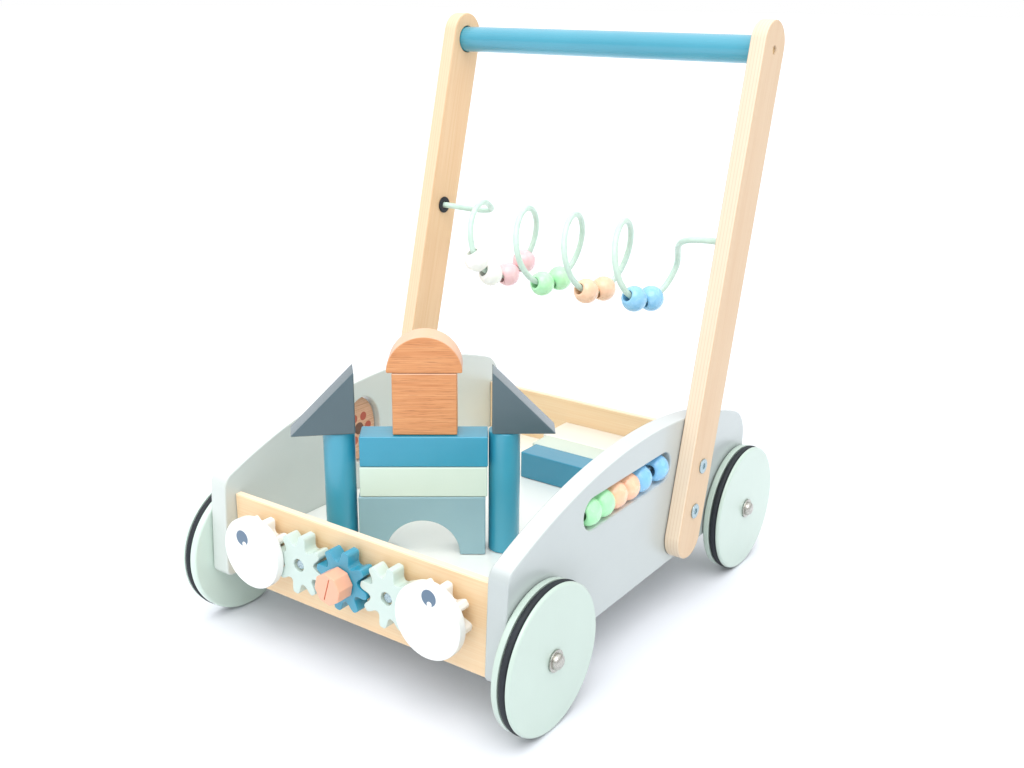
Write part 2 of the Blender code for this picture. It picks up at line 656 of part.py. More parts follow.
def build_uprights(ply, blue, tool_material):
    """Two leaning uprights and the handle bar between them."""
    foot = (UPRIGHT_FOOT_Y, UPRIGHT_FOOT_Z)
    head = (UPRIGHT_HEAD_Y, UPRIGHT_HEAD_Z)
    lean = math.atan2(head[1] - foot[1], head[0] - foot[0])
    outline = arc(head, UPRIGHT_WIDTH / 2, lean - math.pi / 2, lean + math.pi / 2, END_ARC_STEPS)
    outline += arc(foot, UPRIGHT_WIDTH / 2, lean + math.pi / 2, lean + 3 * math.pi / 2, END_ARC_STEPS)
    for name, side in (("upright_left", -1), ("upright_right", 1)):
        ends = sorted((side * UPRIGHT_INNER_X, side * (UPRIGHT_INNER_X + UPRIGHT_THICKNESS)))
        upright = place(prism(outline, ends[0], ends[1], UPRIGHT_EDGE, along_x), name, ply)
        seat = rod(name + "_bar_seat", tool_material, HANDLE_DIAMETER + 2 * FIT_GAP, 2 * HANDLE_LET_IN,
                   (side * UPRIGHT_INNER_X, HANDLE_Y, HANDLE_Z), BAR_SEGMENTS)
        add_boolean(upright, seat, "DIFFERENCE")
        wire_hole = rod(name + "_wire_hole", tool_material, GROMMET_BODY_DIAMETER + 2 * FIT_GAP,
                        2 * GROMMET_LENGTH, (side * UPRIGHT_INNER_X, WIRE_END_Y, WIRE_END_Z), HOLE_SEGMENTS)
        add_boolean(upright, wire_hole, "DIFFERENCE")
    length = 2 * (UPRIGHT_INNER_X + HANDLE_LET_IN - FIT_GAP)
    rod("handle_bar", blue, HANDLE_DIAMETER, length, (0, HANDLE_Y, HANDLE_Z), BAR_SEGMENTS)


def build_grommets(rubber):
    """Rubber grommets where the bead wire enters the uprights."""
    flange = GROMMET_FLANGE_DIAMETER / 2
    body = GROMMET_BODY_DIAMETER / 2
    bore = GROMMET_BORE / 2
    face = -FIT_GAP
    front = face - GROMMET_FLANGE_THICKNESS
    back = GROMMET_LENGTH - FIT_GAP
    profile = ((bore, front), (flange, front), (flange, face), (body, face), (body, back), (bore, back))
    for name, side in (("grommet_left", -1), ("grommet_right", 1)):
        turn = Matrix.Rotation(0 if side > 0 else math.pi, 3, "Z")
        spot = (side * UPRIGHT_INNER_X, WIRE_END_Y, WIRE_END_Z)
        place(lathe(profile, HOLE_SEGMENTS, True), name, rubber, spot, turn, True)


def coil_point(angle):
    """Point on the coil; angle zero is the top of the first loop."""
    return Vector((
        WIRE_FIRST_TOP_X + WIRE_RISE * angle,
        WIRE_AXIS_Y - WIRE_RADIUS * math.sin(angle),
        WIRE_AXIS_Z + WIRE_RADIUS * math.cos(angle),
    ))


def coil_tangent(angle):
    """Direction of travel along the coil, length one."""
    return Vector((
        WIRE_RISE,
        -WIRE_RADIUS * math.cos(angle),
        -WIRE_RADIUS * math.sin(angle),
    )) / WIRE_SPEED


def blend(start, start_pull, end, end_pull):
    """Smooth curve between two points with given end directions, end points left out."""
    points = []
    for index in range(1, WIRE_BLEND_POINTS):
        part = index / WIRE_BLEND_POINTS
        square, cube = part ** 2, part ** 3
        points.append(
            (2 * cube - 3 * square + 1) * start
            + (cube - 2 * square + part) * start_pull
            + (3 * square - 2 * cube) * end
            + (cube - square) * end_pull
        )
    return points


def wire_points():
    """Centre line of the whole bead wire from left to right."""
    inside = UPRIGHT_INNER_X + WIRE_LET_IN
    clear = UPRIGHT_INNER_X - 2 * GROMMET_FLANGE_THICKNESS
    left_clear = Vector((-clear, WIRE_END_Y, WIRE_END_Z))
    right_clear = Vector((clear, WIRE_END_Y, WIRE_END_Z))
    outward = Vector((1, 0, 0))
    turns = (WIRE_END_ANGLE - WIRE_START_ANGLE) / (2 * math.pi)
    steps = round(turns * WIRE_POINTS_PER_LOOP)
    coil = []
    for index in range(steps + 1):
        angle = WIRE_START_ANGLE + (WIRE_END_ANGLE - WIRE_START_ANGLE) * index / steps
        coil.append(coil_point(angle))
    points = [Vector((-inside, WIRE_END_Y, WIRE_END_Z)), left_clear]
    start_bend = WIRE_START_BEND * coil_tangent(WIRE_START_ANGLE)
    end_bend = WIRE_END_BEND * coil_tangent(WIRE_END_ANGLE)
    points += blend(left_clear, WIRE_START_PULL * outward, coil[0], start_bend)
    points += coil
    points += blend(coil[-1], end_bend, right_clear, WIRE_END_PULL * outward)
    return points + [right_clear, Vector((inside, WIRE_END_Y, WIRE_END_Z))]


def print_least_gap(points):
    """Measure how near the wire comes to itself, apart from its own neighbours."""
    reach = 4 * WIRE_DIAMETER
    travelled = [0.0]
    for before, after in zip(points, points[1:]):
        travelled.append(travelled[-1] + (after - before).length)
    least = min(
        (points[first] - points[second]).length
        for first in range(len(points))
        for second in range(first)
        if travelled[first] - travelled[second] > reach
    )
    print("bead wire least gap to itself in mm:", round((least - WIRE_DIAMETER) * 1000, 2))


def build_bead_wire(mint):
    """Bead wire as one unbroken tube."""
    points = wire_points()
    print_least_gap(points)
    curve = bpy.data.curves.new("bead_wire", "CURVE")
    curve.dimensions = "3D"
    curve.bevel_depth = WIRE_DIAMETER / 2
    curve.bevel_resolution = 1
    curve.use_fill_caps = True
    spline = curve.splines.new("POLY")
    spline.points.add(len(points) - 1)
    for target, point in zip(spline.points, points):
        target.co = (*point, 1)
    curve.materials.append(mint)
    bpy.context.scene.collection.objects.link(bpy.data.objects.new("bead_wire", curve))


def bead_shape():
    """Round bead with flat ends and a straight bore along X."""
    radius = BEAD_DIAMETER / 2
    half = BEAD_LENGTH / 2
    bore = BEAD_BORE / 2
    tilt = math.acos(half / radius)
    profile = [(bore, -half), (bore, half)]
    for index in range(BEAD_ROWS + 1):
        angle = tilt + (math.pi - 2 * tilt) * index / BEAD_ROWS
        profile.append((radius * math.sin(angle), radius * math.cos(angle)))
    return lathe(profile, BEAD_SEGMENTS, True)


def build_wire_bead(name, angle, material):
    """Bead on the coil; its parent empty stands on the axis it swings about."""
    tangent = coil_tangent(angle)
    to_centre = Vector((0, math.sin(angle), -math.cos(angle)))
    frame = Matrix((tangent, to_centre, tangent.cross(to_centre))).transposed()
    pivot = bpy.data.objects.new(name + "_pivot", None)
    pivot.location = coil_point(angle) + to_centre * WIRE_CURVE_RADIUS
    pivot.rotation_euler = frame.to_euler()
    bpy.context.scene.collection.objects.link(pivot)
    bead = place(bead_shape(), name, material, (0, -WIRE_CURVE_RADIUS - WIRE_BEAD_HANG, 0), None, True)
    bead.parent = pivot


def build_wire_beads(paints):
    """Ten beads in four groups, each group centred near the bottom of its loop."""
    for loop, middle, colours in WIRE_BEAD_GROUPS:
        start = 2 * math.pi * loop + middle - WIRE_BEAD_STEP * (len(colours) - 1) / 2
        for index, colour in enumerate(colours):
            name = "wire_bead_" + colour + "_" + str(index % 2 + 1)
            build_wire_bead(name, start + WIRE_BEAD_STEP * index, paints[colour])


def build_slot_beads(paints, steel):
    """Rod and six beads in the slot of the right panel."""
    lengthwise = Matrix.Rotation(math.pi / 2, 3, "Z")
    length = SLOT_LENGTH + 2 * (SLOT_ROD_LET_IN - FIT_GAP)
    middle = SLOT_FRONT_Y + SLOT_LENGTH / 2
    centre = (SLOT_ROW_X, middle, SLOT_ROD_Z)
    rod("slot_rod", steel, SLOT_ROD_DIAMETER, length, centre, PIN_SEGMENTS, lengthwise)
    along = SLOT_FRONT_Y + BEAD_DIAMETER / 2 + SLOT_FIRST_BEAD_GAP
    for index, colour in enumerate(SLOT_BEAD_COLOURS):
        if index == len(SLOT_BEAD_COLOURS) - 1:
            along += SLOT_LAST_BEAD_GAP
        name = "slot_bead_" + colour + "_" + str(index % 2 + 1)
        place(bead_shape(), name, paints[colour], (SLOT_ROW_X, along, SLOT_BEAD_Z), lengthwise, True)
        along += SLOT_BEAD_STEP


def castle_place(along, back, height):
    """Point in the turned frame of the block castle."""
    cos, sin = math.cos(CASTLE_YAW), math.sin(CASTLE_YAW)
    return (CASTLE_CORNER_X + along * cos - back * sin, CASTLE_CORNER_Y + along * sin + back * cos, height)


def castle_block(name, material, outline, along, height, set_back=0.0, twist=0.0):
    """Block cut from a flat outline, one unit deep, standing in the castle."""
    turn = Matrix.Rotation(CASTLE_YAW + twist, 3, "Z")
    shape = prism(outline, -set_back - BLOCK_UNIT, -set_back, BLOCK_EDGE, along_y)
    place(shape, name, material, castle_place(along, 0, height), turn)


def rectangle(width, height):
    """Rectangle centred on its foot."""
    return [(-width / 2, 0), (width / 2, 0), (width / 2, height), (-width / 2, height)]


def arch_outline():
    """Bridge block with a round arch cut from below."""
    outer = rectangle(4 * BLOCK_UNIT, 2 * BLOCK_UNIT)
    cut = arc((0, 0), ARCH_CUT_RADIUS, math.pi, 0, HALF_ROUND_STEPS)
    return [outer[0]] + cut + outer[1:]


def build_castle(paints, wood):
    """Nine blocks stacked as a small castle on the tray floor."""
    length = 4 * BLOCK_UNIT
    middle = -length / 2
    step = BLOCK_UNIT + FIT_GAP
    level = BLOCK_BASE_Z
    castle_block("block_arch", paints["slate_light"], arch_outline(), middle, level)
    level += BLOCK_UNIT + step
    plank = rectangle(length, BLOCK_UNIT)
    castle_block("block_plank_mint", paints["mint"], plank, middle + MINT_PLANK_SHIFT, level)
    level += step
    castle_block("block_plank_blue", paints["deep_blue"], plank, middle + BLUE_PLANK_SHIFT, level)
    level += step
    square = rectangle(2 * BLOCK_UNIT, 2 * BLOCK_UNIT)
    castle_block("block_square", wood, square, middle + SQUARE_SHIFT, level, SQUARE_SET_BACK)
    level += BLOCK_UNIT + step
    half_round = arc((0, 0), HALF_ROUND_RADIUS, 0, math.pi, HALF_ROUND_STEPS)
    castle_block("block_half_round", wood, half_round, middle + SQUARE_SHIFT, level, SQUARE_SET_BACK)
    build_towers(paints, length)


def build_towers(paints, length):
    """A round column with a triangular roof on each side of the castle."""
    radius = BLOCK_UNIT / 2
    width = 2 * BLOCK_UNIT
    left_along = -length - COLUMN_SIDE_GAP - radius
    right_along = COLUMN_SIDE_GAP + radius
    left_roof = [(-width, 0), (0, 0), (0, width)]
    right_roof = [(0, 0), (width, 0), (0, width)]
    top = BLOCK_BASE_Z + COLUMN_HEIGHT + FIT_GAP
    set_back = COLUMN_SET_BACK - radius
    for label, along in (("left", left_along), ("right", right_along)):
        outline = ellipse((0, 0), radius, radius, COLUMN_SEGMENTS)
        shape = prism(outline, 0, COLUMN_HEIGHT, BLOCK_EDGE, along_z)
        spot = castle_place(along, COLUMN_SET_BACK, BLOCK_BASE_Z)
        place(shape, "block_column_" + label, paints["deep_blue"], spot, None, True)
    left_leg = left_along + radius + LEFT_ROOF_SHIFT
    right_leg = right_along - radius + RIGHT_ROOF_SHIFT
    castle_block("block_triangle_left", paints["slate"], left_roof, left_leg, top, set_back, LEFT_ROOF_TWIST)
    castle_block("block_triangle_right", paints["slate"], right_roof, right_leg, top, set_back)


def build_rear_blocks(paints):
    """Three planks lying side by side against the rear board."""
    heights = (BLOCK_BASE_Z, BLOCK_BASE_Z + BLOCK_UNIT)
    back_edge = REAR_BOARD_Y - FIT_GAP
    front = REAR_BLOCK_FRONT_Y
    middle = front + BLOCK_UNIT + FIT_GAP
    last = middle + BLOCK_UNIT + FIT_GAP
    rows = (
        ("block_rear_blue", "deep_blue", REAR_BLUE_LEFT_X, front, front + BLOCK_UNIT),
        ("block_rear_mint", "mint", REAR_MINT_LEFT_X, middle, middle + BLOCK_UNIT),
        ("block_rear_white", "white", REAR_WHITE_LEFT_X, last, back_edge),
    )
    for name, paint, left, near, far in rows:
        board(name, paints[paint], (left, left + 4 * BLOCK_UNIT), (near, far), heights, BLOCK_EDGE)


def build_paints():
    """All finishes by plain name."""
    return {
        "panel": finish("panel_grey_paint", "D6DDE1", 0.45),
        "floor": finish("floor_white_paint", "F2F2EE", 0.45),
        "ply": finish("birch_ply", "EFD3AE", 0.50),
        "wood": finish("natural_beech", "E0A878", 0.50),
        "mint": finish("mint_paint", "D3E9DF", 0.40),
        "blue": finish("handle_blue_paint", "5FB0CC", 0.40),
        "gear_blue": finish("gear_blue_paint", "55AFD3", 0.40),
        "deep_blue": finish("block_blue_paint", "4AA0C0", 0.40),
        "slate": finish("slate_paint", "647B87", 0.45),
        "slate_light": finish("arch_blue_paint", "93BBC6", 0.45),
        "coral": finish("coral_paint", "FBA58B", 0.40),
        "white": finish("white_paint", "F6F7F4", 0.40),
        "steel": finish("nickel_steel", "C9CCCF", 0.25, 1.0),
        "rubber": finish("black_rubber", "17181A", 0.70),
        "wire": finish("wire_mint_coating", "BFE0CF", 0.35),
        "bead_white": finish("bead_white_gloss", "F4F2E6", 0.18),
        "bead_pink": finish("bead_pink_gloss", "F7C4CC", 0.18),
        "bead_green": finish("bead_green_gloss", "9BE8A8", 0.18),
        "bead_orange": finish("bead_orange_gloss", "FFC091", 0.18),
        "bead_blue": finish("bead_blue_gloss", "7DB9F2", 0.18),
    }


def main():
    """Build the whole walker."""
    for old in list(bpy.data.objects):
        bpy.data.objects.remove(old)
    paints = build_paints()
    tool = paints["panel"]
    bead_paints = {key[5:]: value for key, value in paints.items() if key.startswith("bead_")}
    left = build_side_panel("side_panel_left", -1, paints["panel"], tool)
    cut_spinner_window(left, tool)
    right = build_side_panel("side_panel_right", 1, paints["panel"], tool)
    cut_bead_slot(right, tool)
    build_tray_boards(paints["ply"], paints["floor"], tool)
    build_spinner(paints["wood"], paints["steel"], tool)
    build_running_gear(paints["mint"], paints["rubber"], paints["steel"])
    build_gear_train(paints["white"], paints["mint"], paints["gear_blue"], paints["coral"], tool)
    build_uprights(paints["ply"], paints["blue"], tool)
    build_grommets(paints["rubber"])
    build_bead_wire(paints["wire"])
    build_wire_beads(bead_paints)
    build_slot_beads(bead_paints, paints["steel"])
    build_castle(paints, paints["wood"])
    build_rear_blocks(paints)


main()
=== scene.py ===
"""Studio picture of a wooden baby activity walker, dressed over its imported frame.

Sizes are in metres in the walker's own frame: +Z is up, the front faces -Y, right is +X.
"""

import functools
import logging
import math
from dataclasses import dataclass, field
from enum import Enum
from typing import Callable, Optional, Sequence, Union

import bmesh
import bpy
from mathutils import Matrix, Vector


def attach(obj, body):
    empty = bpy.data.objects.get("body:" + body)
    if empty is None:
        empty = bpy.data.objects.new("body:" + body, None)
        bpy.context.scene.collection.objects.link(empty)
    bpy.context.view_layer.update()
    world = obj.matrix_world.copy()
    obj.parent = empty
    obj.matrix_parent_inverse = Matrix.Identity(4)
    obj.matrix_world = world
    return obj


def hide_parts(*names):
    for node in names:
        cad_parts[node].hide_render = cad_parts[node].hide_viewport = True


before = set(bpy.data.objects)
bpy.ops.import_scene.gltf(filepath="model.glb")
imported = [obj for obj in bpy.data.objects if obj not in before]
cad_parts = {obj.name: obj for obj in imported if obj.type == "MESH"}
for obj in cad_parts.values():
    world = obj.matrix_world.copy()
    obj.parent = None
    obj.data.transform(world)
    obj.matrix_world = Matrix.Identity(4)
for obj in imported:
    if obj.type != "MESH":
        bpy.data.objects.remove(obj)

LOG = logging.getLogger("walker")

Point = tuple[float, float]
Triple = tuple[float, float, float]
Colour = tuple[float, float, float, float]
Socket = bpy.types.NodeSocket
Value = Union[float, Triple, Colour, Socket]
Values = dict[Union[str, int], Value]
Vert = bmesh.types.BMVert
Face = bmesh.types.BMFace
Loop = list[bmesh.types.BMEdge]
Ring = Callable[[float, float], Loop]

FULL_TURN = 2 * math.pi
QUARTER = math.pi / 2
ORIGIN = (0.0, 0.0, 0.0)
UP = (0.0, 0.0, 1.0)
RIGHTWARD = (1.0, 0.0, 0.0)
REARWARD = (0.0, 1.0, 0.0)
# Divisions of a full circle, of a rounded corner and of a rim.
ROUND = 64
CORNER_STEPS = 4
RIM_STEPS = 3
# Least turn between two faces that gets a rim, and the turn that still shades smoothly.
SHARP_TURN = 0.6
SMOOTH_TURN = math.radians(38)
MERGE_DISTANCE = 1e-6
# Noise values between which fibres and clouds change their sheen.
FIBRE_RANGE = (0.25, 0.75)
CLOUD_RANGE = (0.3, 0.7)
# Grain streaks shorter than this lie across the fibres.
ACROSS_FIBRES = 0.01
PRINT_BLUR = 0.00015
# Radians that a wave texture of scale one runs through in one metre.
WAVE_RATE = 20
# Points nearer to the turning axis than this lie on it; normals steeper than this belong to flat ends.
ON_AXIS = 1e-7
FLAT_END = 0.999


class Worded(Enum):
    """Choice whose name is also a word in the names of pieces."""

    @property
    def word(self) -> str:
        """Lower-case word used in names."""
        return self.name.lower()


class Side(Worded):
    """Left or right, as seen by someone who stands in front of the walker."""

    LEFT = -1
    RIGHT = 1


class End(Worded):
    """Front or rear end of the walker."""

    FRONT = -1
    REAR = 1


class BeadColour(Worded):
    """Lacquer tones of the beads as sRGB hex, lightest first: a thin and a thick coat, then a darker
    tone of painted shade for beads in the slot.
    """

    WHITE = ("#FFFEF8", "#FBFAF2")
    PINK = ("#FACED2", "#F7C5CA")
    GREEN = ("#C1F9C7", "#B2F3BA", "#A5EEB0")
    ORANGE = ("#FFD4B0", "#FECBA6", "#FBBE9A")
    BLUE = ("#96D0F2", "#87C7EF", "#7ABBEA")


class Facing(Enum):
    """Axis along which a flat outline is thickened, with the outline's two axes before it."""

    X = ((0, 1, 0), (0, 0, 1), (1, 0, 0))
    Y = ((1, 0, 0), (0, 0, 1), (0, -1, 0))

    def at(self, place: Triple) -> Matrix:
        """Matrix that turns a flat piece this way and puts its origin at a place."""
        return Matrix.Translation(place) @ Matrix(self.value).transposed().to_4x4()


def linear(hex_colour: str) -> Colour:
    """Turn an sRGB hex colour into scene linear values.

    Args:
        hex_colour: Colour such as "#D6DDE1".

    Returns:
        Linear red, green, blue and an alpha of one.
    """
    levels = [int(hex_colour[place:place + 2], 16) / 255 for place in (1, 3, 5)]
    red, green, blue = (
        level / 12.92 if level <= 0.04045 else ((level + 0.055) / 1.055) ** 2.4 for level in levels
    )
    return (red, green, blue, 1.0)


WHITE = linear("#FFFFFF")


class Graph:
    """Shader nodes of a material or a world while they are wired up."""

    def __init__(self, owner: Union[bpy.types.Material, bpy.types.World]) -> None:
        """Switch on the owner's nodes."""
        owner.use_nodes = True
        self.tree = owner.node_tree

    @property
    def shader(self) -> bpy.types.Node:
        """The material's Principled shader."""
        return self.tree.nodes["Principled BSDF"]

    def feed(self, node: bpy.types.Node, values: Values) -> None:
        """Set or link inputs of a node.

        Args:
            node: The node.
            values: Values, or sockets that give them, by input name or number.
        """
        for key, value in values.items():
            if isinstance(value, Socket):
                self.tree.links.new(value, node.inputs[key])
            else:
                node.inputs[key].default_value = value

    def add(self, kind: str, values: Optional[Values] = None, **settings: str) -> bpy.types.Node:
        """Add one node.

        Args:
            kind: Type of the node, without the prefix that all types share.
            values: What its inputs get.
            **settings: Properties of the node itself.

        Returns:
            The new node.
        """
        node = self.tree.nodes.new(f"ShaderNode{kind}")
        for key, value in settings.items():
            setattr(node, key, value)
        self.feed(node, values or {})
        return node

    def coords(self, kind: str = "Object") -> Socket:
        """Coordinates or normal of a point, measured on the piece itself."""
        return self.add("TexCoord").outputs[kind]

    def mapped(self, size: Triple, turn: Triple) -> Socket:
        """Coordinates counted in patches of a real size, along turned axes."""
        values = {"Vector": self.coords(), "Scale": size, "Rotation": turn}
        return self.add("Mapping", values, vector_type="TEXTURE").outputs["Vector"]

    def noise(self, size: Triple, turn: Triple = ORIGIN, detail: float = 3.0) -> Socket:
        """Noise whose patches have a real size on the piece."""
        values = {"Vector": self.mapped(size, turn), "Scale": 1.0, "Detail": detail, "Roughness": 0.55}
        return self.add("TexNoise", values).outputs[0]

    def ramp(self, factor: Socket, *stops: tuple[float, str]) -> Socket:
        """Add a colour ramp.

        Args:
            factor: Socket that drives it.
            *stops: Position and sRGB hex colour of each stop, in rising order.

        Returns:
            The colour socket.
        """
        node = self.add("ValToRGB", {"Fac": factor})
        elements = node.color_ramp.elements
        while len(elements) < len(stops):
            elements.new(0.5)
        for element, (position, hex_colour) in zip(elements, stops):
            element.position = position
            element.color = linear(hex_colour)
        return node.outputs["Color"]

    def stretch(self, value: Socket, source: Point, target: Point) -> Socket:
        """Value stretched from one range to another and held inside it."""
        ends = zip(("From Min", "From Max", "To Min", "To Max"), (*source, *target))
        return self.add("MapRange", {"Value": value, **dict(ends)}).outputs["Result"]

    def mix(self, factor: Value, base: Value, over: Value, blend: str = "MIX") -> Socket:
        """Two colours mixed, where a factor of one shows the second; 6, 7 and 2 are colour sockets."""
        values = {0: factor, 6: base, 7: over}
        return self.add("Mix", values, data_type="RGBA", blend_type=blend).outputs[2]

    def relief(self, height: Socket, depth: float, strength: float) -> Socket:
        """Normal bumped by a height, with the depth in metres and the share of it that shows."""
        values = {"Height": height, "Distance": depth, "Strength": strength}
        return self.add("Bump", values).outputs["Normal"]

    def lean(self, direction: Triple) -> Socket:
        """How far a face looks along a direction, from -1 to 1."""
        values = {0: self.coords("Normal"), 1: direction}
        return self.add("VectorMath", values, operation="DOT_PRODUCT").outputs["Value"]

    def spot(self, centre: Triple, keep: Triple, radius: float) -> Socket:
        """Mask of a round printed spot.

        Args:
            centre: Middle of the spot.
            keep: One for each axis that counts and zero for the axis it is printed along.
            radius: Radius of the spot.

        Returns:
            One inside the spot and zero outside.
        """
        offset = self.add("VectorMath", {0: self.coords(), 1: centre}, operation="SUBTRACT")
        flat = self.add("VectorMath", {0: offset.outputs["Vector"], 1: keep}, operation="MULTIPLY")
        away = self.add("VectorMath", {0: flat.outputs["Vector"]}, operation="LENGTH")
        edge = (radius - PRINT_BLUR, radius + PRINT_BLUR)
        return self.stretch(away.outputs["Value"], edge, (1.0, 0.0))


@dataclass(frozen=True)
class Grain:
    """How wood fibres lie in a piece: length of a streak along each axis, and turn of those axes."""

    streak: Triple
    turn: Triple = ORIGIN

    def scaled(self, share: float) -> Triple:
        """Streaks of the same shape in another size."""
        return tuple(share * length for length in self.streak)

    def patches(self, across: float, along: float) -> Triple:
        """Patch sizes across the fibres and along them, in the order of the axes."""
        return tuple(across if length < ACROSS_FIBRES else along for length in self.streak)


CASTLE_YAW = math.radians(36.5)
ALONG_X = Grain((0.060, 0.0011, 0.0011))
ALONG_Y = Grain((0.0011, 0.060, 0.0011))
ALONG_Z = Grain((0.0011, 0.0011, 0.060))
ALONG_CASTLE = Grain(ALONG_X.streak, (0.0, 0.0, CASTLE_YAW))


@dataclass(frozen=True)
class Finish:
    """A real surface that a piece can be given."""

    name: str

    def dress(self, graph: Graph) -> None:
        """Wire up the material's nodes."""
        raise NotImplementedError


@functools.cache
def material_of(finish: Finish) -> bpy.types.Material:
    """Build a finish the first time it is asked for.

    Args:
        finish: The finish wanted.

    Returns:
        Its material.
    """
    material = bpy.data.materials.new(finish.name)
    finish.dress(Graph(material))
    return material


@dataclass(frozen=True)
class PaintedWood(Finish):
    """Satin water-based paint on wood smoothed with sandpaper: even colour, faint grain under it, soft
    sheen.

    Attributes:
        colour: Colour of the paint.
        shade: The same paint where it lies a little thicker.
        grain: Fibres that show through as relief.
        roughness: Middle roughness of the sheen.
        painted_highlight: How far faces that look straight up go towards white, a painted highlight for
            the light from above.
        cloud: Size of the patches that lie thicker.
        relief: Depth of the fibres in metres, and the share of it that shows.
        coat: Weight and roughness of the clear coat.
    """

    colour: str
    shade: str
    grain: Grain = ALONG_X
    roughness: float = 0.38
    painted_highlight: float = 0.0
    cloud: float = 0.060
    relief: Point = (0.00025, 0.16)
    coat: Point = (0.9, 0.26)

    def dress(self, graph: Graph) -> None:
        """Lay on the paint.

        Args:
            graph: Nodes of the material.
        """
        cloud = graph.noise((self.cloud, self.cloud, self.cloud))
        fibres = graph.noise(self.grain.streak, self.grain.turn, detail=4.0)
        paint = graph.ramp(cloud, (0.15, self.shade), (0.70, self.colour))
        # Painted highlight: faces that look up are mixed towards white, standing in for the light from
        # above.
        highlight_share = graph.stretch(graph.lean(UP), (0.60, 1.00), (0.0, self.painted_highlight))
        sheen = (self.roughness - 0.05, self.roughness + 0.06)
        graph.feed(graph.shader, {
            "Base Color": graph.mix(highlight_share, paint, WHITE),
            "Roughness": graph.stretch(fibres, FIBRE_RANGE, sheen),
            "Normal": graph.relief(fibres, *self.relief),
            "Coat Weight": self.coat[0],
            "Coat Roughness": self.coat[1],
        })


@dataclass(frozen=True)
class BirchPly(Finish):
    """Clear-varnished birch plywood: pale veneer with fine streaks, layered edges, small knots.

    Attributes:
        pale: Light fibres.
        middle: Most of the veneer.
        dark: Dark fibres.
        edge: Sawn edge, where the fibres are cut across.
        grain: How the veneer lies.
        across: Axis through the layers.
        layer_pair: Thickness of two layers.
        glue: Thin lines between the layers.
        knot: Small pin knots.
        knot_spacing: Distance of the knots across the fibres and along them.
        figure: Size of the broad figure across the fibres and along them.
        relief: Depth of the fibres in metres, and the share of it that shows.
    """

    pale: str = "#F7DFBD"
    middle: str = "#F4D6AD"
    dark: str = "#EECA9B"
    edge: str = "#F8E9D3"
    grain: Grain = ALONG_X
    across: Facing = Facing.Y
    layer_pair: float = 0.0024
    glue: str = "#C9A176"
    knot: str = "#A87B52"
    knot_spacing: Point = (0.042, 0.120)
    figure: Point = (0.0132, 0.180)
    relief: Point = (0.0002, 0.14)

    def dress(self, graph: Graph) -> None:
        """Lay the veneer, then the layers that show on the edges, then the knots.

        Args:
            graph: Nodes of the material.
        """
        fibres = graph.noise(self.grain.streak, self.grain.turn, detail=4.0)
        figure = graph.noise(self.grain.patches(*self.figure), self.grain.turn, detail=2.0)
        veneer = graph.ramp(fibres, (0.15, self.dark), (0.50, self.middle), (0.85, self.pale))
        tone = graph.ramp(figure, (0.28, "#F8F0E6"), (0.66, "#FFFFFF"))
        shaded = graph.mix(0.6, veneer, tone, "MULTIPLY")
        knotted = graph.mix(self._knots(graph), shaded, linear(self.knot))
        sawn = graph.mix(0.35, linear(self.edge), shaded)
        layered = graph.mix(self._glue_lines(graph), sawn, linear(self.glue))
        through = graph.add("Math", {0: graph.lean(self.across.value[2])}, operation="ABSOLUTE")
        on_edge = graph.stretch(through.outputs["Value"], (0.55, 0.80), (1.0, 0.0))
        graph.feed(graph.shader, {
            "Base Color": graph.mix(on_edge, knotted, layered),
            "Roughness": graph.stretch(fibres, FIBRE_RANGE, (0.40, 0.52)),
            "Normal": graph.relief(fibres, *self.relief),
        })

    def _glue_lines(self, graph: Graph) -> Socket:
        """Share of the thin darker lines between the layers.

        Args:
            graph: Nodes of the material.

        Returns:
            The share at each point.
        """
        scale = FULL_TURN / WAVE_RATE / self.layer_pair
        values = {"Vector": graph.coords(), "Scale": scale, "Distortion": 0.0}
        bands = graph.add("TexWave", values, wave_type="BANDS", bands_direction=self.across.name)
        return graph.stretch(bands.outputs["Fac"], (0.86, 1.0), (0.0, 0.36))

    def _knots(self, graph: Graph) -> Socket:
        """Share of a few small pin knots.

        Args:
            graph: Nodes of the material.

        Returns:
            The share at each point.
        """
        spread = self.grain.patches(*self.knot_spacing)
        cells = graph.add("TexVoronoi", {"Vector": graph.mapped(spread, self.grain.turn), "Scale": 1.0})
        return graph.stretch(cells.outputs["Distance"], (0.015, 0.040), (0.6, 0.0))


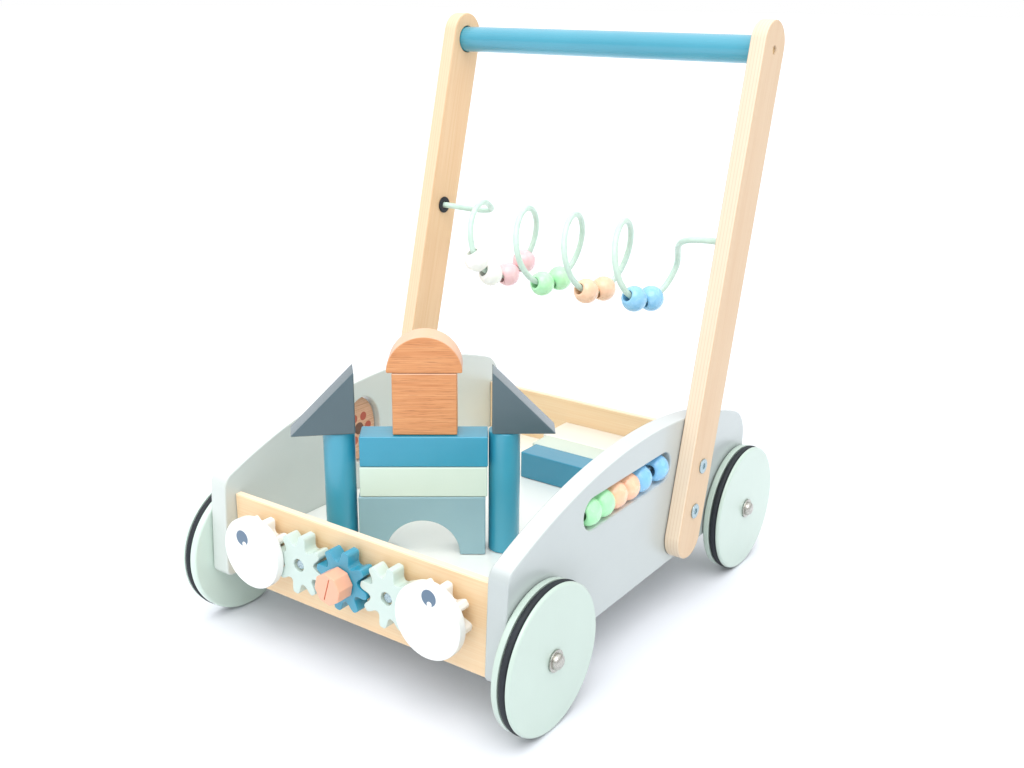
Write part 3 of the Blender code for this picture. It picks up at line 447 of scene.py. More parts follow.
@dataclass(frozen=True)
class NaturalBeech(Finish):
    """Oiled solid wood: warm brown with fine dark pores and faint year rings; faces that look up get a
    painted highlight.

    Attributes:
        grain: How the fibres lie.
        pale: Light fibres.
        middle: Most of the wood.
        dark: Dark fibres.
        pore: Fine dark pores.
        highlight_tone: Paler colour painted on faces that look up, a painted highlight for the light
            from above.
        relief: Depth of the fibres in metres, and the share of it that shows.
    """

    grain: Grain
    pale: str = "#E2A774"
    middle: str = "#D99763"
    dark: str = "#CB8753"
    pore: str = "#A4633A"
    highlight_tone: str = "#F6DCC4"
    relief: Point = (0.0002, 0.2)

    def dress(self, graph: Graph) -> None:
        """Lay fibres, rings and pores, then the painted highlight on faces that look up.

        Args:
            graph: Nodes of the material.
        """
        fibres = graph.noise(self.grain.streak, self.grain.turn, detail=5.0)
        fine = graph.noise(self.grain.scaled(0.4), self.grain.turn, detail=2.0)
        rings = graph.noise(self.grain.scaled(5), self.grain.turn, detail=2.0)
        wood = graph.ramp(fibres, (0.25, self.dark), (0.50, self.middle), (0.75, self.pale))
        band = graph.ramp(rings, (0.26, "#F0E2D6"), (0.70, "#FFFFFF"))
        ringed = graph.mix(0.6, wood, band, "MULTIPLY")
        pores = graph.stretch(fine, (0.55, 0.70), (0.0, 0.7))
        porous = graph.mix(pores, ringed, linear(self.pore))
        # Painted highlight: faces that look up are mixed towards a paler tone, for the light from above.
        upward_highlight_share = graph.stretch(graph.lean(UP), (0.10, 0.70), (0.0, 0.5))
        graph.feed(graph.shader, {
            "Base Color": graph.mix(upward_highlight_share, porous, linear(self.highlight_tone)),
            "Roughness": graph.stretch(fibres, FIBRE_RANGE, (0.36, 0.48)),
            "Normal": graph.relief(fibres, *self.relief),
        })


@dataclass(frozen=True)
class Skin(Finish):
    """Thin skin with small clouds, such as lacquer, plating, rubber, plastic or paper.

    Attributes:
        dark: Tone inside the clouds.
        light: Tone between them.
        patch: Size of one cloud.
        stops: Noise values that take the dark and the light tone.
        roughness: Roughness inside the clouds and between them.
        relief: Depth of the clouds in metres, and the share of it that shows.
        detail: Octaves of finer clouds.
        inputs: Other inputs of the shader.
    """

    dark: str
    light: str
    patch: float
    stops: Point
    roughness: Point
    relief: Point = (0.0, 0.0)
    detail: float = 2.0
    inputs: tuple[tuple[str, float], ...] = ()

    def dress(self, graph: Graph) -> None:
        """Lay the skin.

        Args:
            graph: Nodes of the material.
        """
        clouds = graph.noise((self.patch, self.patch, self.patch), detail=self.detail)
        graph.feed(graph.shader, {
            "Base Color": graph.ramp(clouds, *zip(self.stops, (self.dark, self.light))),
            "Roughness": graph.stretch(clouds, CLOUD_RANGE, self.roughness),
            **dict(self.inputs),
        })
        if any(self.relief):
            graph.feed(graph.shader, {"Normal": graph.relief(clouds, *self.relief)})


@dataclass(frozen=True)
class Printed(Finish):
    """Another finish with round spots printed on it.

    Attributes:
        base: Finish under the print.
        keep: One for each axis that counts and zero for the axis it is printed along.
        spots: Middle, radius and sRGB hex ink of each spot; without ink the base shows again.
    """

    base: Finish
    keep: Triple
    spots: tuple[tuple[Triple, float, str], ...]

    def dress(self, graph: Graph) -> None:
        """Lay the base, then print the spots in order.

        Args:
            graph: Nodes of the material.
        """
        self.base.dress(graph)
        bare = colour = graph.shader.inputs["Base Color"].links[0].from_socket
        for centre, radius, ink in self.spots:
            mask = graph.spot(centre, self.keep, radius)
            colour = graph.mix(mask, colour, linear(ink) if ink else bare)
        graph.feed(graph.shader, {"Base Color": colour})


def plating(name: str, dark: str, light: str) -> Skin:
    """Plated steel: bright metal with a fine turned texture."""
    metal = (("Metallic", 1.0),)
    return Skin(name, dark, light, 0.0006, (0.30, 0.65), (0.22, 0.36), (0.00005, 0.15), inputs=metal)


def lacquer(name: str, dark: str, light: str) -> Skin:
    """Thick clear-coated lacquer on a turned bead: clean colour and a bright small highlight."""
    coat = (("Coat Weight", 0.6), ("Coat Roughness", 0.08))
    return Skin(name, dark, light, 0.007, (0.32, 0.60), (0.22, 0.30), inputs=coat)


# Nickel on axles and rods, zinc on bolts and gear screws, brass on the handle screws.
STEEL = plating("nickel_plated_steel", "#A5A29B", "#C9C6BF")
ZINC = plating("zinc_plated_steel", "#879CA2", "#BCCDD2")
BRASS = plating("brass_plated_screw", "#B8955E", "#E0C490")
# Dusty black rubber of tyres and grommets, plastic dip on the bead wire, paper under the walker.
RUBBER = Skin(
    "matt_black_rubber", "#10151B", "#262C33", 0.0015, (0.35, 0.70), (0.55, 0.75), (0.0001, 0.3), 4.0
)
MINT_WIRE = Skin(
    "plastic_dipped_wire", "#C5DFCF", "#CFE6D8", 0.006, (0.32, 0.62), (0.30, 0.40), (0.0002, 0.12)
)
PAPER = Skin(
    "white_paper_floor", "#E5E7EC", "#E8EAEF", 0.4, CLOUD_RANGE, (0.9, 0.9), detail=3.0,
    inputs=(("Specular IOR Level", 0.1),),
)
# Clear-varnished ply of the boards, oiled wood of the bare blocks.
BOARD_PLY = BirchPly("varnished_ply_boards")
BLOCK_WOOD = NaturalBeech("oiled_hardwood_block", Grain((0.032, 0.0008, 0.0010), ALONG_CASTLE.turn))
# Satin paints. Panels and wheels are one paint each, with painted light from side to side: the left ones
# are lighter to make up for the shade they stand in, and the panels' top faces get a painted highlight.
SIDE_LIT_PANEL_PAINTS = {
    Side.LEFT: PaintedWood("satin_grey_left_panel_paint", "#D0D7D1", "#CAD1CC", ALONG_Y, painted_highlight=0.3),
    Side.RIGHT: PaintedWood("satin_grey_right_panel_paint", "#B8C0BE", "#B3BAB9", ALONG_Y, painted_highlight=0.3),
}
SIDE_LIT_WHEEL_PAINTS = {
    Side.LEFT: PaintedWood("satin_mint_left_wheel_paint", "#CFE1D5", "#C9DBCF", ALONG_Z),
    Side.RIGHT: PaintedWood("satin_mint_right_wheel_paint", "#BED0C4", "#B9CABE", ALONG_Z),
}
FLOOR_PAINT = PaintedWood("satin_white_floor_paint", "#F3F4EE", "#EEF0EA")
GEAR_MINT = PaintedWood("satin_mint_gear_paint", "#C9DAD2", "#C0D3CA")
GEAR_BLUE = PaintedWood("satin_blue_gear_paint", "#3097B4", "#2A8EAB")
BAR_BLUE = PaintedWood("satin_blue_bar_paint", "#409FB7", "#3A97AF", roughness=0.30)
WHITE_PAINT = PaintedWood("satin_white_paint", "#F3F3EF", "#EDEEEA")
EYE_PAINT = PaintedWood("satin_white_eye_paint", "#F4F5F2", "#EEF0EC")
CORAL_PAINT = PaintedWood("satin_coral_paint", "#F0B08F", "#ECA786")
BLOCK_MINT = PaintedWood("satin_mint_block_paint", "#D5E7DA", "#CDE1D2", ALONG_CASTLE)
BLOCK_BLUE = PaintedWood("satin_blue_block_paint", "#1E99B8", "#198FAE", ALONG_CASTLE)
ARCH_BLUE = PaintedWood("satin_pale_blue_block_paint", "#8EB4BE", "#86ACB7", ALONG_CASTLE)
SLATE = PaintedWood("satin_slate_block_paint", "#435B63", "#3D545C", ALONG_CASTLE)
COLUMN_BLUE = PaintedWood("satin_blue_column_paint", "#36A0BC", "#2F96B2", ALONG_Z)
PLANK_BLUE = PaintedWood("satin_blue_plank_paint", "#1486A4", "#107D9B")
PLANK_MINT = PaintedWood("satin_mint_plank_paint", "#C6D4C7", "#BFCDC0")
PLANK_WHITE = PaintedWood("satin_white_plank_paint", "#E8E5DC", "#E1DED5")


def link(name: str, data: bpy.types.ID) -> bpy.types.Object:
    """Put a new object into the scene.

    Args:
        name: Name of the object.
        data: Its mesh, curve, light or camera.

    Returns:
        The object.
    """
    piece = bpy.data.objects.new(name, data)
    bpy.context.scene.collection.objects.link(piece)
    return piece


def settle(piece: bpy.types.Object, finish: Finish, node: str, body: str) -> None:
    """Give a piece its finish and its body, and hide the CAD node it stands for.

    Args:
        piece: The piece.
        finish: Surface it gets.
        node: CAD node it stands for, if any.
        body: Body it moves with.
    """
    piece.data.materials.append(material_of(finish))
    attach(piece, body)
    if node:
        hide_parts(node)
    LOG.info("built %s on %s", piece.name, body)


def dress_node(node: str, finish: Finish) -> None:
    """Give a CAD node that stays in sight a better finish.

    Args:
        node: Name of the node.
        finish: Surface it gets.
    """
    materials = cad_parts[node].data.materials
    materials.clear()
    materials.append(material_of(finish))
    LOG.info("dressed %s", node)


def turning_place(centre: Triple, axis: Triple) -> Matrix:
    """Matrix that lays the turning axis of a lathe piece along a direction through a point."""
    turn = Vector(axis).to_track_quat("Z", "Y").to_matrix().to_4x4()
    return Matrix.Translation(centre) @ turn


class Solid:
    """A mesh while it is modelled, in a frame whose Z is the thickness or the turning axis."""

    def __init__(self) -> None:
        """Start with nothing."""
        self.bm = bmesh.new()

    def vert(self, a: float, b: float, height: float = 0.0) -> Vert:
        """Add one point."""
        return self.bm.verts.new((a, b, height))

    def join(self, *line: Vert) -> Loop:
        """Draw straight edges from point to point.

        Args:
            *line: The points in order.

        Returns:
            All edges drawn so far.
        """
        for ends in zip(line, line[1:]):
            self.bm.edges.new(ends)
        return list(self.bm.edges)

    def arc(self, start: Vert, centre: Point, angle: float, steps: int) -> Vert:
        """Carry a line on along an arc.

        Args:
            start: Point where the arc starts.
            centre: Middle of the arc.
            angle: Angle it turns through, anticlockwise.
            steps: Number of divisions.

        Returns:
            The point where the arc ends.
        """
        middle = (*centre, start.co.z)
        made = bmesh.ops.spin(self.bm, geom=[start], cent=middle, axis=UP, angle=angle, steps=steps)
        return next(item for item in made["geom_last"] if isinstance(item, Vert))

    def outline(
        self, corners: Sequence[Point], rounding: Sequence[float] = (), height: float = 0.0
    ) -> Loop:
        """Draw a closed outline in an empty mesh and round its corners.

        Args:
            corners: Corner points, anticlockwise.
            rounding: Radius of each corner, or nothing.
            height: Height of the outline.

        Returns:
            The edges of the outline.
        """
        verts = [self.vert(a, b, height) for a, b in corners]
        self.bm.faces.new(verts)
        for vert, radius in zip(verts, rounding):
            if radius > 0:
                self._bevel([vert], radius, CORNER_STEPS, "VERTICES")
        bmesh.ops.delete(self.bm, geom=list(self.bm.faces), context="FACES_ONLY")
        return list(self.bm.edges)

    def _bevel(self, geom: list, radius: float, steps: int, affect: str) -> None:
        """Round corners or edges.

        Args:
            geom: The corners or edges.
            radius: Radius of the rounding.
            steps: Divisions of the rounding.
            affect: VERTICES or EDGES.
        """
        bmesh.ops.bevel(
            self.bm,
            geom=geom,
            offset=radius,
            offset_type="OFFSET",
            segments=steps,
            profile=0.5,
            affect=affect,
            clamp_overlap=affect == "EDGES",
            material=-1,
        )

    def _ring(self, place: Matrix, radius: float, steps: int) -> list[Vert]:
        """Points of a new circle in a place of its own."""
        return bmesh.ops.create_circle(self.bm, segments=steps, radius=radius, matrix=place)["verts"]

    def oval(self, centre: Point, half: Point, height: float = 0.0, steps: int = ROUND) -> Loop:
        """Draw an oval.

        Args:
            centre: Middle of the oval.
            half: Half its size along both axes.
            height: Its height.
            steps: Number of divisions.

        Returns:
            The edges of the oval.
        """
        place = Matrix.Translation((*centre, height)) @ Matrix.Diagonal((*half, 1, 1))
        verts = self._ring(place, 1, steps)
        return list({edge for vert in verts for edge in vert.link_edges})

    def circle(self, centre: Point, radius: float, height: float = 0.0, steps: int = ROUND) -> Loop:
        """Draw a circle, which is an oval with equal halves."""
        return self.oval(centre, (radius, radius), height, steps)

    def stadium(
        self, start: Point, end: Point, radius: float, height: float = 0.0, steps: int = ROUND
    ) -> Loop:
        """Draw an outline with two straight sides and round ends.

        Args:
            start: Middle of the first round end.
            end: Middle of the other.
            radius: Radius of both ends.
            height: Height of the outline.
            steps: Number of divisions.

        Returns:
            The edges of the outline.
        """
        along = Vector((end[0] - start[0], end[1] - start[1], 0))
        middle = Vector((*start, height))
        turn = math.atan2(along.y, along.x) + math.pi / steps
        place = Matrix.Translation(middle) @ Matrix.Rotation(turn, 4, "Z")
        verts = self._ring(place, radius, steps)
        ahead = [vert for vert in verts if (vert.co - middle).dot(along) > 0]
        bmesh.ops.translate(self.bm, verts=ahead, vec=along)
        return list({edge for vert in verts for edge in vert.link_edges})

    def pull(self, loop: Loop, rise: float) -> Loop:
        """Raise a wall from an outline.

        Args:
            loop: Edges of the outline.
            rise: Height of the wall.

        Returns:
            The edges at the far end of the wall.
        """
        made = bmesh.ops.extrude_edge_only(self.bm, edges=loop)["geom"]
        fresh = {item for item in made if isinstance(item, Vert)}
        bmesh.ops.translate(self.bm, verts=list(fresh), vec=(0, 0, rise))
        edges = [item for item in made if isinstance(item, bmesh.types.BMEdge)]
        return [edge for edge in edges if fresh.issuperset(edge.verts)]

    def prism(self, loop: Loop, thickness: float, rim: float, steps: int = RIM_STEPS) -> None:
        """Thicken an outline into a plate with rounded rims.

        Args:
            loop: Edges of the outline.
            thickness: Thickness of the plate.
            rim: Radius of the rims.
            steps: Divisions of the rims.
        """
        for end in (self.pull(loop, thickness), loop):
            bmesh.ops.edgeloop_fill(self.bm, edges=end)
        bmesh.ops.recalc_face_normals(self.bm, faces=self.bm.faces)
        shared = [edge for edge in self.bm.edges if len(edge.link_faces) == 2]
        sharp = [edge for edge in shared if edge.calc_face_angle(0.0) > SHARP_TURN]
        self._bevel(sharp, rim, steps, "EDGES")

    def _flat_ends(self) -> list[Face]:
        """The two large end faces of a plate, lower one first."""
        largest = sorted(self.bm.faces, key=lambda face: face.calc_area())[-2:]
        return sorted(largest, key=lambda face: face.calc_center_median().z)

    def _open_face(self, face: Face, mouth: Loop) -> None:
        """Replace a flat face by one with a hole.

        Args:
            face: The face to open.
            mouth: Edges of the hole in it.
        """
        rim = list(face.edges)
        bmesh.ops.delete(self.bm, geom=[face], context="FACES_ONLY")
        bmesh.ops.triangle_fill(self.bm, edges=rim + mouth, use_beauty=True, normal=UP)

    def punch(self, ring: Ring, rim: float) -> None:
        """Cut a hole with rounded rims through both ends of a plate.

        Args:
            ring: Draws the hole, grown by its first value, at the height of its second.
            rim: Radius of the rims.
        """
        low, high = self._flat_ends()
        bottom, top = low.calc_center_median().z, high.calc_center_median().z
        turns = [QUARTER * step / RIM_STEPS for step in range(RIM_STEPS + 1)]
        places = [(rim * (1 - math.sin(turn)), rim * (1 - math.cos(turn))) for turn in turns]
        loops = [ring(grow, bottom + rise) for grow, rise in places]
        loops += [ring(grow, top - rise) for grow, rise in reversed(places)]
        for first, second in zip(loops, loops[1:]):
            bmesh.ops.bridge_loops(self.bm, edges=first + second)
        self._open_face(low, loops[0])
        self._open_face(high, loops[-1])

    def sink(self, ring: Callable[[float], Loop], depth: float, upper: bool = True) -> None:
        """Cut a blind hole into one end of a plate.

        Args:
            ring: Draws the hole at a height.
            depth: Depth of the hole.
            upper: True for the upper end.
        """
        face = self._flat_ends()[1 if upper else 0]
        mouth = ring(face.calc_center_median().z)
        self._open_face(face, mouth)
        bottom = self.pull(mouth, -depth if upper else depth)
        bmesh.ops.edgeloop_fill(self.bm, edges=bottom)

    def revolve(self, steps: int) -> None:
        """Set everything drawn so far upright and spin it about Z.

        Args:
            steps: Divisions of the full turn.
        """
        upright = Matrix.Rotation(QUARTER, 3, "X")
        bmesh.ops.rotate(self.bm, verts=self.bm.verts, cent=ORIGIN, matrix=upright)
        section = list(self.bm.verts) + list(self.bm.edges)
        bmesh.ops.spin(
            self.bm, geom=section, cent=ORIGIN, axis=UP, angle=FULL_TURN, steps=steps, use_merge=True
        )
        bmesh.ops.remove_doubles(self.bm, verts=self.bm.verts, dist=MERGE_DISTANCE)

    def turned(self, corners: Sequence[Point], rounding: Sequence[float], steps: int = ROUND) -> None:
        """Turn a closed section about Z, as on a lathe.

        Args:
            corners: Section corners as (radius, height).
            rounding: Radius of each corner.
            steps: Divisions of the full turn.
        """
        loop = self.outline(corners, rounding)
        on_axis = [edge for edge in loop if all(vert.co.x < ON_AXIS for vert in edge.verts)]
        bmesh.ops.delete(self.bm, geom=on_axis, context="EDGES")
        self.revolve(steps)

    def pin(self, radius: float, ends: Point, rims: Point, steps: int = ROUND) -> None:
        """Turn a plain pin with a rim of its own at each end."""
        corners = [(0.0, ends[0]), (radius, ends[0]), (radius, ends[1]), (0.0, ends[1])]
        self.turned(corners, (0.0, *rims, 0.0), steps)

    def make(
        self, name: str, finish: Finish, place: Matrix, node: str = "", body: str = "frame"
    ) -> None:
        """Turn the mesh into a finished piece that rides a body.

        Args:
            name: Name of the piece.
            finish: Surface it gets.
            place: Matrix from the modelling frame to the walker's.
            node: CAD node it stands for, if any.
            body: Body it moves with.
        """
        bmesh.ops.remove_doubles(self.bm, verts=self.bm.verts, dist=MERGE_DISTANCE)
        bmesh.ops.recalc_face_normals(self.bm, faces=self.bm.faces)
        for face in self.bm.faces:
            face.smooth = len(face.verts) > 3 or abs(face.normal.z) < FLAT_END
        bmesh.ops.transform(self.bm, matrix=place, verts=self.bm.verts)
        mesh = bpy.data.meshes.new(name)
        self.bm.to_mesh(mesh)
        self.bm.free()
        mesh.set_sharp_from_angle(angle=SMOOTH_TURN)
        piece = link(name, mesh)
        even = piece.modifiers.new("even_normals", "WEIGHTED_NORMAL")
        even.keep_sharp = True
        settle(piece, finish, node, body)


@dataclass
class RunningGear:
    """Four turned wheels with rubber rings, on two steel axles with domed caps."""

    half_base: float = 0.1405
    axle_z: float = 0.050407
    wheel_radius: float = 0.0500
    wheel_width: float = 0.0138
    wheel_inner: float = 0.1307
    wheel_rims: tuple[float, ...] = (0.0004, 0.0020, 0.0005, 0.0)
    groove_half: float = 0.0030
    groove_floor: float = 0.0447
    tyre_shift: float = 0.0012
    bore: float = 0.0033
    ring_radius: float = 0.0027
    ring_reach: float = 0.0504
    axle_radius: float = 0.0030
    axle_rims: tuple[float, ...] = (0.0, 0.0003, 0.0003, 0.0, 0.0032, 0.0)
    washer_radius: float = 0.0075
    washer_thickness: float = 0.0012
    washer_gap: float = 0.0003
    dome_radius: float = 0.0055
    dome_height: float = 0.0038
    wheel_steps: int = 96

    def build(self) -> None:
        """Make both axles and all four wheels with their tyres."""
        for end in End:
            self._axle(end)
            for side in Side:
                self._wheel(end, side)
                self._tyre(end, side)

    def _place(self, end: End, side: Side, shift: float = 0.0) -> Matrix:
        """Matrix of a piece on one wheel's axis, a little outside the wheel's middle."""
        x = side.value * (self.wheel_inner + self.wheel_width / 2) + side.value * shift
        return turning_place((x, end.value * self.half_base, self.axle_z), RIGHTWARD)

    def _wheel(self, end: End, side: Side) -> None:
        """Turn one wheel with its tyre groove.

        Args:
            end: Front or rear.
            side: Left or right.
        """
        half, rim, floor = self.wheel_width / 2, self.wheel_radius, self.groove_floor
        middle = side.value * self.tyre_shift
        near, far = middle - self.groove_half, middle + self.groove_half
        corners = [(self.bore, -half), (rim, -half), (rim, near), (floor, near)]
        corners += [(floor, far), (rim, far), (rim, half), (self.bore, half)]
        solid = Solid()
        solid.turned(corners, self.wheel_rims + self.wheel_rims[::-1], self.wheel_steps)
        name = f"wheel_{end.word}_{side.word}"
        place = self._place(end, side)
        solid.make(f"turned_{name}", SIDE_LIT_WHEEL_PAINTS[side], place, name, name)

    def _tyre(self, end: End, side: Side) -> None:
        """Make one rubber ring of round section.

        Args:
            end: Front or rear.
            side: Left or right.
        """
        solid = Solid()
        solid.circle((self.ring_reach - self.ring_radius, 0.0), self.ring_radius, steps=20)
        solid.revolve(self.wheel_steps)
        word = f"{end.word}_{side.word}"
        place = self._place(end, side, self.tyre_shift)
        solid.make(f"rubber_ring_{word}", RUBBER, place, f"tyre_{word}", f"wheel_{word}")

    def _axle(self, end: End) -> None:
        """Turn one axle with a washer and a domed cap at each end.

        Args:
            end: Front or rear.
        """
        washer = self.wheel_inner + self.wheel_width + self.washer_gap
        cap = washer + self.washer_thickness
        top = cap + self.dome_height
        upper = [(self.axle_radius, washer), (self.washer_radius, washer), (self.washer_radius, cap)]
        upper += [(self.dome_radius, cap), (self.dome_radius, top), (0.0, top)]
        lower = [(radius, -height) for radius, height in reversed(upper)]
        solid = Solid()
        solid.turned(lower + upper, self.axle_rims[::-1] + self.axle_rims, steps=40)
        place = turning_place((0, end.value * self.half_base, self.axle_z), RIGHTWARD)
        name = f"axle_{end.word}"
        solid.make(f"capped_{name}", STEEL, place, name)


@dataclass
class SidePanels:
    """Two painted panels with a curved top; a bead slot in the right one, a window in the left one."""

    outer_x: float = 0.1300
    thickness: float = 0.0150
    bottom: float = 0.0410
    front_y: float = -0.1745
    front_lean: float = 0.0440
    rear_y: float = 0.1585
    arc_radius: float = 0.4180
    arc_centre: Point = (0.0028, -0.2644)
    front_round: float = 0.0110
    rear_round: float = 0.0260
    bottom_round: float = 0.0050
    rim: float = 0.0013
    slot: tuple[Point, Point] = ((-0.0753, 0.1219), (0.0203, 0.1219))
    slot_radius: float = 0.0112
    window: Point = (-0.0265, 0.1100)
    window_half: Point = (0.0200, 0.0275)

    def build(self) -> None:
        """Make both panels and cut their openings."""
        for side in Side:
            solid = Solid()
            solid.prism(self._outline(solid), self.thickness, self.rim)
            start = -self.outer_x
            if side is Side.RIGHT:
                start = self.outer_x - self.thickness
                solid.punch(
                    lambda grow, z: solid.stadium(*self.slot, self.slot_radius + grow, z), self.rim
                )
            else:
                a, b = self.window_half
                solid.punch(lambda grow, z: solid.oval(self.window, (a + grow, b + grow), z), self.rim)
            name = f"side_panel_{side.word}"
            place = Facing.X.at((start, 0, 0))
            solid.make(f"painted_{name}", SIDE_LIT_PANEL_PAINTS[side], place, name)

    def _outline(self, solid: Solid) -> Loop:
        """Draw the panel's outline with arcs that run into each other.

        Args:
            solid: Mesh that gets the outline.

        Returns:
            The edges of the outline.
        """
        rear = self._rear_middle()
        front, inward = self._front_middle()
        rear_turn, front_turn = self._bearing(rear), self._bearing(front)
        end_turn = math.atan2(-inward.y, -inward.x)
        first = solid.vert(self.rear_y, rear.y)
        last = solid.arc(first, tuple(rear), rear_turn, steps=14)
        last = solid.arc(last, self.arc_centre, front_turn - rear_turn, steps=60)
        last = solid.arc(last, tuple(front), end_turn - front_turn, steps=10)
        radius = self.bottom_round
        heel, corner = self.rear_y - radius, self.bottom + radius
        down = solid.vert(self.front_y, corner)
        solid.join(last, down)
        low = solid.arc(down, (self.front_y + radius, corner), QUARTER, steps=5)
        far = solid.vert(heel, self.bottom)
        solid.join(low, far)
        return solid.join(solid.arc(far, (heel, corner), QUARTER, steps=5), first)

    def _bearing(self, point: Vector) -> float:
        """Angle of a point seen from the middle of the large arc."""
        return math.atan2(point.y - self.arc_centre[1], point.x - self.arc_centre[0])

    def _rear_middle(self) -> Vector:
        """Middle of the rear rounding, which touches the rear edge and the large arc.

        Returns:
            The point in the panel's plane.
        """
        across = self.rear_y - self.rear_round
        reach = self.arc_radius - self.rear_round
        rise = math.sqrt(reach**2 - (across - self.arc_centre[0]) ** 2)
        return Vector((across, self.arc_centre[1] + rise))

    def _front_middle(self) -> tuple[Vector, Vector]:
        """Middle of the front rounding, which touches the leaning front edge and the large arc.

        Returns:
            The point in the panel's plane, and the inward direction of the front edge.
        """
        upward = Vector((self.front_lean, 1)).normalized()
        inward = Vector((upward.y, -upward.x))
        start = Vector((self.front_y, self.bottom)) + inward * self.front_round
        offset = start - Vector(self.arc_centre)
        reach = self.arc_radius - self.front_round
        lead = offset.dot(upward)
        run = -lead + math.sqrt(lead**2 - offset.length_squared + reach**2)
        return start + upward * run, inward


class TrayBoards:
    """Varnished ply front and rear boards and the white floor, kept as the frame has them."""

    def build(self) -> None:
        """Give the three boards their finishes."""
        for node, finish in (("front", BOARD_PLY), ("rear", BOARD_PLY), ("floor", FLOOR_PAINT)):
            dress_node(f"{node}_board", finish)


@dataclass
class PushHandle:
    """Two leaning ply uprights with bolts, and the painted bar between them."""

    inner_x: float = 0.1303
    thickness: float = 0.0120
    radius: float = 0.0175
    foot: Point = (0.0445, 0.0624)
    head: Point = (0.1329, 0.4098)
    rim: float = 0.0012
    bar: Point = (0.1321, 0.4064)
    bar_radius: float = 0.0100
    bar_end: float = 0.1380
    bar_rim: float = 0.0006
    bar_play: float = 0.0008
    bar_hole: float = 0.0066
    screw_hole: float = 0.0034
    screw_depth: float = 0.0026
    screw_radius: float = 0.0028
    screw_height: float = 0.0016
    screw_dome: float = 0.0009
    bolt_places: tuple[Point, ...] = ((0.0588, 0.1137), (0.0498, 0.0808))
    bolt_radius: float = 0.0056
    bolt_height: float = 0.0011
    bolt_rim: float = 0.0004
    socket_radius: float = 0.0026
    socket_share: float = 0.8
    # The same ply on both sides; the tones per side are painted light and shade, the right upright
    # darker than the left.
    side_lit_veneers: dict[Side, tuple[str, str, str, str]] = field(
        default_factory=lambda: {
            Side.LEFT: ("#EDCDA6", "#E9C499", "#E1B887", "#F1D5B6"),
            Side.RIGHT: ("#DCC2A4", "#D8BC9B", "#D1B18D", "#F1E0C9"),
        }
    )

    def build(self) -> None:
        """Make uprights, bolts, screws and the bar."""
        for side in Side:
            self._upright(side)
            self._bolts(side)
            self._screw(side)
        solid = Solid()
        solid.pin(self.bar_radius, (-self.bar_end, self.bar_end), (self.bar_rim, self.bar_rim))
        place = turning_place((0, *self.bar), RIGHTWARD)
        solid.make("painted_handle_bar", BAR_BLUE, place, "handle_bar")

    def _upright(self, side: Side) -> None:
        """Make one upright with its screw hole and the hole for the bar.

        Args:
            side: Left or right.
        """
        right = side is Side.RIGHT
        sleeve = self.bar_radius + self.bar_play
        solid = Solid()
        solid.prism(solid.stadium(self.foot, self.head, self.radius), self.thickness, self.rim)
        solid.sink(
            lambda z: solid.circle(self.bar, self.screw_hole, z, steps=32), self.screw_depth, right
        )
        solid.sink(lambda z: solid.circle(self.bar, sleeve, z), self.bar_hole, not right)
        lean = math.atan2(self.head[0] - self.foot[0], self.head[1] - self.foot[1])
        grain = Grain(ALONG_Z.streak, (-lean, 0, 0))
        name = f"upright_{side.word}"
        ply = BirchPly(f"varnished_ply_{name}", *self.side_lit_veneers[side], grain, Facing.X)
        place = Facing.X.at((self.inner_x if right else -self.inner_x - self.thickness, 0, 0))
        solid.make(f"layered_{name}", ply, place, name)

    def _bolts(self, side: Side) -> None:
        """Turn the flat bolt heads and sink their sockets.

        Args:
            side: Left or right.
        """
        face = side.value * (self.inner_x + self.thickness)
        for number, (y, z) in enumerate(self.bolt_places, 1):
            solid = Solid()
            head = solid.circle((0, 0), self.bolt_radius, steps=40)
            solid.prism(head, self.bolt_height, self.bolt_rim)
            solid.sink(
                lambda top: solid.circle((0, 0), self.socket_radius, top, steps=6),
                self.bolt_height * self.socket_share,
            )
            place = turning_place((face, y, z), (side.value, 0, 0))
            solid.make(f"bolt_{side.word}_{number}", ZINC, place)

    def _screw(self, side: Side) -> None:
        """Turn the small handle screw that lies deep in its hole.

        Args:
            side: Left or right.
        """
        solid = Solid()
        solid.pin(self.screw_radius, (0.0, self.screw_height), (0.0, self.screw_dome), steps=32)
        seat = side.value * (self.inner_x + self.thickness - self.screw_depth)
        place = turning_place((seat, *self.bar), (side.value, 0, 0))
        solid.make(f"handle_screw_{side.word}", BRASS, place)


